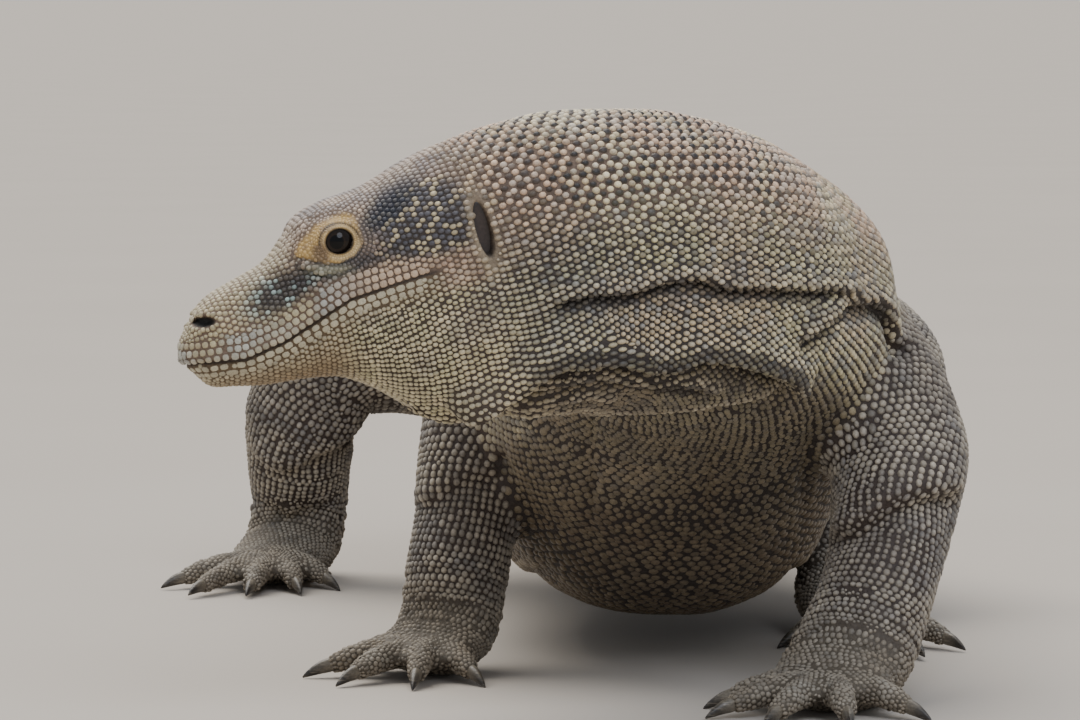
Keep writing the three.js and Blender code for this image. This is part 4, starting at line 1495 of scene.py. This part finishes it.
class HeadRoots(Roots):
    """Roots found by rays towards the head, for the lips, the lids and the tip of the snout."""

    def __init__(self, rays):
        starts, ways, sizes, lie_to = (np.array(column) for column in zip(*rays))
        hits, found, faces = [], [], []
        for i, (start, way) in enumerate(zip(starts, unit(ways))):
            hit, _, index, _ = SKIN_TREE.ray_cast(Vector(start * MM), Vector(way), 90 * MM)
            if hit is not None:
                hits.append(np.array(hit[:]) / MM)
                found.append(i)
                faces.append(index)
        self.place = np.array(hits)
        self.normal = unit(SKIN_NORMALS[sheet.triangles[faces]].mean(1))
        _, self.station, self.angle, _ = owners(self.place)
        lie = lie_to[found]
        self.lie = unit(lie - self.normal * dot(lie, self.normal)[:, None])
        self.long, self.wide, self.high = (sizes[found, k].copy() for k in range(3))
        self.long /= 1.24
        self.tilt = np.zeros(len(found))
        self.kind = np.ones(len(found))
        self.grow = 1 + 0.05 * RANDOM.normal(size=len(found)).clip(-2, 2)
        nought = np.zeros(len(found), int)
        self.centre, self.rim, _ = paint(self.place, nought, self.station, self.angle)
        shade = 1 + 0.1 * RANDOM.normal(size=(len(found), 1)).clip(-2, 2)
        self.centre, self.rim = self.centre * shade, self.rim * shade
        self.number = nought


FAN_FROM = 146.0    # ahead of this the lip rows turn round the blunt end of the snout
BESIDE = 70         # in mm, how far out rays start beside the head


def lip_rows():
    """Plates along both lips and round the snout: each ray's start and way, with size and lie."""
    table = [(2.4, 4.3, 4.0, 0.8, 36), (6.3, 4.2, 4.0, 0.75, 38), (10.3, 4.2, 4.0, 0.75, 60),
             (-2.7, 5.4, 3.8, 0.3, 36), (-6.3, 4.8, 3.8, 0.4, 40)]
    for side in (1, -1):
        for row, (rise, long, wide, high, first) in enumerate(table):
            for along in np.arange(first + long * 0.5 * (row % 2), FAN_FROM, long):
                level = mouth_level(along)
                slope = (mouth_level(along + 3) - level) / 3
                start = head_point(along, side * BESIDE, level + rise * 1.05)
                yield start, -LEFT * side, (long, wide, high), -FORWARD - CROWN * slope
            turn = 84.0 - 6.0 * (row % 2)
            while turn > 0:
                forth, off = math.cos(math.radians(turn)), side * math.sin(math.radians(turn))
                height = mouth_level(FAN_FROM + 14 * forth) + rise * 1.05
                start = head_point(FAN_FROM + 60 * forth, 60 * off, height)
                way, lie = -FORWARD * forth - LEFT * off, -FORWARD * abs(off) + LEFT * side * forth
                yield start, way, (long * 0.95, wide, high), lie
                turn -= long * 2.7


# each ring's size in units of the open lids, and the size and height of its granules in mm
LID_RINGS = [
    (1.17, 1.15, 0.3), (1.36, 1.4, 0.3), (1.62, 1.8, 0.3),
    (1.9, 2.1, 0.3), (2.22, 2.3, 0.3), (2.52, 2.4, 0.32),
]


def lid_rows():
    """Granules in rings round the eye, smallest at the lids, out over the ochre skin."""
    for side in (1, -1):
        for row, (ring, size, high) in enumerate(LID_RINGS):
            count = int(2 * math.pi * ring * 7.05 / size)
            first = 0.5 * (row % 2) * 2 * math.pi / count
            for turn in np.linspace(0, 2 * math.pi, count, endpoint=False) + first:
                c, s = math.cos(turn), math.sin(turn)
                along, height = EYE[0] + ring * LID_OPEN[0] * c, EYE[2] + ring * LID_OPEN[1] * s
                start = head_point(along, side * BESIDE, height)
                yield start, -LEFT * side, (size * 1.05, size, high), -FORWARD * s + CROWN * c
        for row, height in enumerate(np.arange(2.0, 36.0, 2.2)):
            for along in np.arange(56 + 1.25 * (row % 2), 108, 2.5):
                in_patch = within(along, height, (82, 19), (21, 9), -16, 0.15) > 0.5
                if in_patch and from_eye(along, height) > 2.62:
                    start = head_point(along, side * BESIDE, height)
                    yield start, -LEFT * side, (2.7, 2.3, 0.28), -FORWARD + 0.25 * CROWN


def snout_tip():
    """Scales on the blunt front of the snout, where the rings of the head close."""
    for row, height in enumerate(np.arange(-24.0, -8.0, 2.9)):
        for out in np.arange(-13.5 + 1.6 * (row % 2), 14, 3.2):
            yield head_point(215, out, height), -FORWARD, (3.4, 3.0, 0.6), CROWN


lips = HeadRoots(lip_rows())
lids = HeadRoots(lid_rows())
tip = HeadRoots(snout_tip())
tip = tip.pick((dot(tip.normal, FORWARD) > 0.8) & (tip.station > SPINE.last - 0.3))
SPINE_PIECES = {
    "scales_face": (21.2, 40.0, BEAD),
    "scales_cheeks": (18.6, 21.2, BEAD),
    "scales_neck": (16.7, 18.6, BEAD),
    "scales_neck_base": (14.6, 16.7, BEAD),
    "scales_shoulders": (12.4, 14.6, PEBBLE),
    "scales_belly": (10.3, 12.4, PEBBLE),
    "scales_hips": (8.0, 10.3, PEBBLE),
    "scales_tail": (-1.0, 8.0, KEEL),
}


def leg_roots(number):
    """The rows of a leg and of its five digits."""
    line = LINES[number]
    long = by_station([0, 3, 6, 7.5, 9], [5.8, 5.4, 4.6, 3.6, 3.4])
    wide = by_station([0, 3, 6, 7.5, 9], [5.4, 5.0, 4.4, 3.6, 3.4])
    limb = Roots(number, rows(line, 0.4, line.last, long, wide), 18, 1)
    limb.high = np.interp(limb.station, [0, 3, 6, 8], [1.4, 1.35, 1.1, 0.8])
    limb.tilt = np.full(len(limb.place), 0.1)
    digits = []
    for own in digits_of(number):
        digit = Roots(own, rows(LINES[own], 0.3, 2.97, steady(3.3), steady(3.2)), 5, 1)
        digit.high = np.full(len(digit.place), 0.7)
        digit.tilt = np.full(len(digit.place), 0.1)
        digits.append(digit)
    return spaced(limb), spaced(joined(digits))


def fillers(laid):
    """Small scales wherever the rows leave the skin bare for more than a scale's breadth."""
    tree = kdtree.KDTree(len(laid.place))
    for i, place in enumerate(laid.place):
        tree.insert(place, i)
    tree.balance()
    corner = sheet.triangles[:, 0]
    spots = sheet.points[sheet.triangles].mean(1)
    bare = left_bare(spots, (owner[corner] == 0) & (station[corner] > 18), lips_too=False)
    open_spots = np.flatnonzero(~bare & (spots[:, 2] > 0.6) & ~in_eye[corner])
    chosen, likes, sizes, taken = [], [], [], {}
    for spot in RANDOM.permutation(open_spots):
        place = spots[spot]
        _, like, away = tree.find(place)
        pitch = 0.5 * (laid.long[like] + laid.wide[like])
        if away < 0.8 * pitch:
            continue
        cell = tuple(int(c // 6) for c in place)
        around = [taken.get((cell[0] + i, cell[1] + j, cell[2] + k), ())
                  for i in (-1, 0, 1) for j in (-1, 0, 1) for k in (-1, 0, 1)]
        if any(np.sum((place - other) ** 2) < (0.85 * pitch) ** 2 for group in around for other in group):
            continue
        taken.setdefault(cell, []).append(place)
        chosen.append(spot)
        likes.append(like)
        sizes.append(min(max(2 * away - pitch, 0.6 * pitch), pitch))
    chosen, sizes = np.array(chosen), np.array(sizes)
    filled = laid.pick(np.array(likes))
    corner = sheet.triangles[chosen, 0]
    filled.place, filled.normal = spots[chosen], unit(SKIN_NORMALS[sheet.triangles[chosen]].mean(1))
    filled.lie = unit(filled.lie - filled.normal * dot(filled.lie, filled.normal)[:, None])
    filled.number, filled.station, filled.angle = owner[corner], station[corner], angle[corner]
    filled.long, filled.wide = 0.9 * sizes, sizes
    filled.high, filled.tilt = 0.85 * filled.high, 0 * filled.tilt
    filled.centre, filled.rim, _ = paint(
        filled.place, filled.number, filled.station, filled.angle, np.ones(len(chosen)))
    print("fillers", len(chosen))
    return filled


legs = {name: leg_roots(number) for number, name in enumerate(LEGS, start=1)}
filled = fillers(joined([spine, lips, lids, tip, *[part for pair in legs.values() for part in pair]]))
COATS = {}
for name, (low, high, shape) in SPINE_PIECES.items():
    rows_here = spine.pick((spine.station >= low) & (spine.station < high))
    spots_here = filled.pick((filled.number == 0) & (filled.station >= low) & (filled.station < high))
    COATS[name] = [(shape, rows_here), (PEBBLE, spots_here)]
COATS["scales_face"] += [(SQUARE, lips), (PEBBLE, lids), (BEAD, tip)]
for number, name in enumerate(LEGS, start=1):
    limb, digits = legs[name]
    bend = LEG_TABLE[name][1][1] + 0.6
    spots_here = filled.pick(np.isin(filled.number, [number, *digits_of(number)]))
    COATS[f"scales_{name}"] = [
        (BEAD, limb.pick(limb.station < bend)), (PEBBLE, limb.pick(limb.station >= bend)),
        (PEBBLE, digits), (PEBBLE, spots_here),
    ]

coats = [lay_scales(name, parts) for name, parts in COATS.items()]
print("coat", sum(len(coat.data.polygons) for coat in coats), "triangles")
add_tint(skin.data, paint(sheet.points, owner, station, angle)[2])


# ---- eyes, eardrums and claws -----------------------------------------------------------------
def piece_from(shape, name, tones=None):
    """An object from a bmesh in millimetres, with smooth faces and one tint for each vertex."""
    for vertex in shape.verts:
        vertex.co *= MM
    for face in shape.faces:
        face.smooth = True
    bmesh.ops.recalc_face_normals(shape, faces=shape.faces)
    mesh = bpy.data.meshes.new(name)
    shape.to_mesh(mesh)
    shape.free()
    add_tint(mesh, np.array(tones))
    piece = bpy.data.objects.new(name, mesh)
    bpy.context.scene.collection.objects.link(piece)
    return piece


PUPIL, IRIS_EDGE = 0.42, 0.80       # in radians from the middle of the eye
IRIS_TONE, IRIS_RING = colour("#15100d"), colour("#2b1f15")
PUPIL_TONE, EYE_WHITE = colour("#030304"), colour("#151110")


def eyeball(side):
    """A ball whose pole looks outward and a little forward."""
    shape = bmesh.new()
    bmesh.ops.create_uvsphere(shape, u_segments=72, v_segments=48, radius=EYE_RADIUS)
    look = unit(LEFT * side * 0.97 + FORWARD * 0.2 + CROWN * 0.02)
    across = unit(np.cross(CROWN, look))
    roof = np.cross(look, across)
    tones = []
    for vertex in shape.verts:
        x, y, z = vertex.co
        from_pole = math.atan2(math.hypot(x, y), z)
        streak = 0.5 + 0.5 * math.sin(31 * math.atan2(y, x)) * math.sin(13 * math.atan2(y, x) + 1.0)
        iris = mix(IRIS_TONE, IRIS_RING, 0.5 * bell(from_pole - PUPIL - 0.06, 0.06) + 0.25 * streak)
        tone = mix(PUPIL_TONE, iris, ease(from_pole, PUPIL - 0.03, PUPIL + 0.03))
        tone = mix(tone, EYE_WHITE, ease(from_pole, IRIS_EDGE - 0.06, IRIS_EDGE + 0.03))
        tones.append(tone)
        bulge = 1 + 0.03 * bell(from_pole, 0.5)
        place = head_point(EYE[0], side * EYE[1], EYE[2]) + (across * x + roof * y + look * z * bulge)
        vertex.co = place
    return piece_from(shape, f"eyeball_{'left' if side > 0 else 'right'}", tones)


DRUM_OUT, DRUM_HALF = 48.5, (4.5, 15.5, 1.2)
# the drum's dull tone, painted dark as the shade deep in the ear, and darkest at its rim as painted shade
DRUM_TONE_IN_SHADE, DRUM_RIM_SHADE = colour("#3b302b"), colour("#231d1a")


def drum(side):
    """The taut membrane in the ear, dished a little, painted dark for the shade of the ear pit and darker
    still towards its rim.
    """
    shape = bmesh.new()
    bmesh.ops.create_uvsphere(shape, u_segments=40, v_segments=24, radius=1.0)
    lean = math.radians(PIT_LEAN)
    tones = []
    for vertex in shape.verts:
        x, y, z = vertex.co
        edge = math.hypot(x, y)
        out = DRUM_OUT + DRUM_HALF[2] * (z - 0.9 * (1 - edge**2) * (z > 0))
        along, height = x * DRUM_HALF[0], y * DRUM_HALF[1]
        tones.append(mix(DRUM_TONE_IN_SHADE, DRUM_RIM_SHADE, edge**3))
        forth = along * math.cos(lean) - height * math.sin(lean)
        rise = along * math.sin(lean) + height * math.cos(lean)
        vertex.co = head_point(EAR[0] + forth, side * out, EAR[1] + rise)
    return piece_from(shape, f"ear_membrane_{'left' if side > 0 else 'right'}", tones)


CLAW_STEPS, CLAW_SIDES = 10, 14
# share of the length, drop in mm and share of the half thickness, from root to point
CLAW_TABLE = [
    (-0.22, 0, 0.86), (0, 0, 1), (0.28, -0.25, 0.9),
    (0.55, 0.1, 0.68), (0.8, 0.7, 0.42), (1, 1.5, 0.1),
]
CLAW_ROOT, CLAW_POINT = colour("#6f675a"), colour("#27221e")


def claw_line(digit):
    """A claw's own body line, out from the end of its digit."""
    centre, _, forth, _, _, _ = digit.frame(np.array([digit.last * 1.0]))
    stations = []
    for share, drop, half in CLAW_TABLE:
        place = centre[0] + forth[0] * (CLAW_GAP + share * CLAW_LONG) + ORIGIN - UP * drop
        thick = half * CLAW_THICK
        stations.append([*place, thick * 0.74, thick, thick * 0.86, 0.95])
    return BodyLine(stations)


def grown_from(vertex, fresh):
    """The new vertex at the other end of one of a vertex's edges."""
    others = (edge.other_vert(vertex) for edge in vertex.link_edges)
    return next(other for other in others if other in fresh)


def claws_of(leg_name):
    """The five claws of a foot: each a ring swept out to a point and closed at both ends."""
    shape = bmesh.new()
    tones = []
    turns = np.linspace(0, 2 * math.pi, CLAW_SIDES, endpoint=False)
    for toe in range(1, TOES + 1):
        line = claw_line(DIGITS[f"{leg_name}_{toe}"])
        stations = np.linspace(0, line.last, CLAW_STEPS)
        rings = [line.surface(np.full(CLAW_SIDES, station), turns) for station in stations]
        base = bmesh.ops.create_circle(shape, segments=CLAW_SIDES, radius=1.0, cap_ends=False)["verts"]
        edges = list({edge for vertex in base for edge in vertex.link_edges})
        loop = sorted(base, key=lambda v: math.atan2(v.co.y, v.co.x) % (2 * math.pi))
        first_edges = edges
        for number, ring in enumerate(rings):
            if number:
                grown = bmesh.ops.extrude_edge_only(shape, edges=edges)["geom"]
                edges = [e for e in grown if isinstance(e, bmesh.types.BMEdge)]
                fresh = {v for v in grown if isinstance(v, bmesh.types.BMVert)}
                loop = [grown_from(v, fresh) for v in loop]
                edges = [e for e in edges if e.verts[0] in fresh and e.verts[1] in fresh]
            for vertex, place in zip(loop, ring):
                vertex.co = (place[0], place[1], max(place[2], 0.0))
            tones += [mix(CLAW_ROOT, CLAW_POINT, ease(number / (CLAW_STEPS - 1), 0.1, 0.75))] * CLAW_SIDES
        bmesh.ops.edgeloop_fill(shape, edges=edges)
        bmesh.ops.edgeloop_fill(shape, edges=first_edges)
    return piece_from(shape, f"claws_{leg_name}", tones)


eyes = {side: eyeball(side) for side in (1, -1)}
drums = {side: drum(side) for side in (1, -1)}
claws = {name: claws_of(name) for name in LEGS}


# ---- finishes ---------------------------------------------------------------------------------
def new_finish(name):
    """A material with nodes, its shader and its node tree."""
    material = bpy.data.materials.new(name)
    material.use_nodes = True
    return material, material.node_tree, material.node_tree.nodes["Principled BSDF"]


def node(tree, kind, settings=None, inputs=None):
    """Adds one node with its settings; inputs are numbers, colours or other nodes' outputs."""
    made = tree.nodes.new("ShaderNode" + kind)
    for name, value in (settings or {}).items():
        setattr(made, name, value)
    for key, value in (inputs or {}).items():
        if isinstance(value, bpy.types.NodeSocket):
            tree.links.new(value, made.inputs[key])
        else:
            made.inputs[key].default_value = value
    return made


def rgba(hex_code):
    return (*colour(hex_code), 1.0)


def noise(tree, size_mm, detail=3.0, stretch=None):
    """Noise in the object's own coordinates, its patches about size_mm across."""
    where = node(tree, "TexCoord").outputs["Object"]
    if stretch:
        where = node(tree, "Mapping", {}, {"Vector": where, "Scale": stretch}).outputs["Vector"]
    values = {"Vector": where, "Scale": 1000.0 / size_mm, "Detail": detail}
    return node(tree, "TexNoise", {}, values).outputs["Fac"]


def ranged(tree, value, low, high, start=0.3, end=0.7):
    return node(tree, "MapRange", {}, {"Value": value, "From Min": start, "From Max": end,
                                       "To Min": low, "To Max": high}).outputs["Result"]


def blend(tree, share, one, other):
    """The two colours mixed by share."""
    return node(tree, "Mix", {"data_type": "RGBA"}, {0: share, 6: one, 7: other}).outputs[2]


def tinted(tree, size_mm, low, high):
    """The piece's own markings, lighter and darker in specks of size_mm."""
    tint = node(tree, "Attribute", {"attribute_name": "tint"}).outputs["Color"]
    value = ranged(tree, noise(tree, size_mm), low, high)
    return node(tree, "HueSaturation", {}, {"Color": tint, "Value": value}).outputs["Color"]


def rough_and_bumpy(tree, shader, rough, rough_mm, heights, deep_mm):
    tree.links.new(ranged(tree, noise(tree, rough_mm), *rough), shader.inputs["Roughness"])
    bump = node(tree, "Bump", {}, {"Height": heights, "Distance": deep_mm * MM, "Strength": 0.8})
    tree.links.new(bump.outputs["Normal"], shader.inputs["Normal"])


def near_floor(tree, top_mm):
    """1 at the floor, fading to 0 at top_mm, broken up by noise."""
    where = node(tree, "TexCoord").outputs["Object"]
    height = node(tree, "SeparateXYZ", {}, {"Vector": where}).outputs["Z"]
    low = ranged(tree, height, 1.0, 0.0, 0.0, top_mm * MM)
    broken = ranged(tree, noise(tree, 6), 0.1, 0.9)
    return node(tree, "Math", {"operation": "MULTIPLY"}, {0: low, 1: broken}).outputs[0]


def scale_finish(name, rough, coat, specks_mm=0.9, mud_top_mm=0.0):
    material, tree, shader = new_finish(name)
    tone = tinted(tree, specks_mm, 0.78, 1.2)
    if mud_top_mm:
        tone = blend(tree, near_floor(tree, mud_top_mm), tone, rgba("#8d8170"))
    tree.links.new(tone, shader.inputs["Base Color"])
    rough_and_bumpy(tree, shader, rough, 2.4, noise(tree, 0.45, 4.0), 0.16)
    shader.inputs["Specular IOR Level"].default_value = 0.45
    shader.inputs["Coat Weight"].default_value = coat
    shader.inputs["Coat Roughness"].default_value = 0.42
    return material


# dry keratin: each bead catches one small, dull light from above
DRY_SCALES = scale_finish("dry keratin scales", (0.40, 0.58), 0.08)
# keratin of the face, rubbed smoother, so that the lip plates look faintly polished
FACE_SCALES = scale_finish("smooth face scales", (0.34, 0.5), 0.14, 0.6)
# keratin with dried mud over the hands, feet and wrists, dull and pale near the floor
MUDDY_SCALES = scale_finish("mud-dusted scales", (0.5, 0.72), 0.0, 1.1, 70.0)


def bare_skin_finish():
    # soft creased hide between the scales: dark, dull and finely grained
    material, tree, shader = new_finish("creased bare hide")
    tree.links.new(tinted(tree, 1.6, 0.75, 1.2), shader.inputs["Base Color"])
    where = node(tree, "TexCoord").outputs["Object"]
    values = {"Vector": where, "Scale": 1000.0 / 1.1}
    cells = node(tree, "TexVoronoi", {"feature": "F1"}, values).outputs["Distance"]
    grain = node(tree, "Math", {"operation": "SUBTRACT"}, {0: 1.0, 1: cells}).outputs[0]
    rough_and_bumpy(tree, shader, (0.55, 0.78), 3.0, grain, 0.35)
    shader.inputs["Specular IOR Level"].default_value = 0.35
    return material


def eye_finish():
    # a wet cornea over a dark iris: a sharp bright reflection on near black
    material, tree, shader = new_finish("wet eye")
    tree.links.new(tinted(tree, 0.5, 0.7, 1.35), shader.inputs["Base Color"])
    rough_and_bumpy(tree, shader, (0.05, 0.1), 3.0, noise(tree, 2.5), 0.01)
    shader.inputs["IOR"].default_value = 1.34
    shader.inputs["Specular IOR Level"].default_value = 0.2
    shader.inputs["Coat Weight"].default_value = 0.4
    shader.inputs["Coat IOR"].default_value = 1.34
    shader.inputs["Coat Roughness"].default_value = 0.02
    return material


def membrane_finish():
    # a taut thin membrane, slightly greasy; its tint is painted dark as the shade deep in the ear
    material, tree, shader = new_finish("eardrum membrane")
    tree.links.new(tinted(tree, 1.4, 0.7, 1.3), shader.inputs["Base Color"])
    rough_and_bumpy(tree, shader, (0.28, 0.45), 2.0, noise(tree, 1.2), 0.08)
    return material


def claw_finish():
    # worn horn: dark, with fine growth lines and paler scratches and mud at the root
    material, tree, shader = new_finish("worn claw horn")
    tone = tinted(tree, 1.2, 0.7, 1.35)
    scratches = noise(tree, 2.2, 4.0, (0.35, 0.35, 2.4))
    tone = blend(tree, ranged(tree, scratches, 0.0, 0.5, 0.5, 0.75), tone, rgba("#9a8f7d"))
    tree.links.new(tone, shader.inputs["Base Color"])
    rough_and_bumpy(tree, shader, (0.3, 0.55), 1.5, scratches, 0.18)
    return material


def floor_finish():
    # pale matte studio floor, a little uneven in tone, that takes soft shadows
    material, tree, shader = new_finish("pale matte floor")
    tone = blend(tree, ranged(tree, noise(tree, 420, 1.0), 0.0, 1.0), rgba("#b6aea4"), rgba("#b8b0a6"))
    tree.links.new(tone, shader.inputs["Base Color"])
    rough_and_bumpy(tree, shader, (0.84, 0.9), 300, noise(tree, 40.0, 1.0), 0.03)
    return material


def finish_piece(piece, material, slot, *nodes):
    """Gives a piece its finish and its body, and hides the CAD nodes it stands for; slot is not used."""
    piece.data.materials.clear()
    piece.data.materials.append(material)
    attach(piece, "root")
    if nodes:
        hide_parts(*nodes)


finish_piece(skin, bare_skin_finish(), "skin", *FLESH)
for coat in coats:
    on_leg = coat.name.removeprefix("scales_") in LEGS
    on_face = coat.name == "scales_face"
    finish_piece(coat, MUDDY_SCALES if on_leg else FACE_SCALES if on_face else DRY_SCALES, "skin")
wet, taut, horn = eye_finish(), membrane_finish(), claw_finish()
for side, label in ((1, "left"), (-1, "right")):
    finish_piece(eyes[side], wet, "eye", f"eye_{label}")
    finish_piece(drums[side], taut, "eardrum", f"eardrum_{label}")
for name, piece in claws.items():
    finish_piece(piece, horn, "claw", *[f"claw_{name}_{toe}" for toe in range(1, TOES + 1)])


# ---- floor, light and camera ------------------------------------------------------------------
def linked(name, data):
    placed = bpy.data.objects.new(name, data)
    bpy.context.scene.collection.objects.link(placed)
    return placed


ground = bmesh.new()
bmesh.ops.create_grid(ground, x_segments=2, y_segments=2, size=5000.0)
floor_mesh = bpy.data.meshes.new("floor")
ground.to_mesh(floor_mesh)
ground.free()
floor_mesh.materials.append(floor_finish())
linked("floor", floor_mesh)

sky = bpy.data.worlds.new("soft studio")
bpy.context.scene.world = sky
sky.use_nodes = True
sky.node_tree.nodes["Background"].inputs["Color"].default_value = rgba("#e6ebf2")
sky.node_tree.nodes["Background"].inputs["Strength"].default_value = 0.72


def soft_light(name, place, aim, size, watts, tone):
    """A round soft light at a place, aimed at a point."""
    light = bpy.data.lights.new(name, "AREA")
    light.energy, light.size, light.shape = watts, size, "DISK"
    light.color = tuple(colour(tone))
    lamp = linked(name, light)
    lamp.location = place
    lamp.rotation_euler = (Vector(aim) - Vector(place)).to_track_quat("-Z", "Y").to_euler()


daylight = bpy.data.lights.new("overhead", "SUN")
daylight.energy, daylight.angle, daylight.color = 3.3, math.radians(55), tuple(colour("#fffaf2"))
linked("overhead", daylight).rotation_euler = (math.radians(-24), math.radians(-16), 0)
soft_light("front", (0.9, -3.1, 2.5), (0.0, -0.7, 0.2), 2.0, 52, "#eaf1ff")

lens = bpy.data.cameras.new("camera")
lens.sensor_width = 36.0
lens.lens = 5200 / 1080 * 36
lens.clip_end = 10000
camera = linked("camera", lens)
camera.location = (-0.006, -3.783, 0.400)
camera.rotation_euler = (math.radians(90 - 3.96), 0, 0)
bpy.context.scene.camera = camera

bpy.context.view_layer.update()
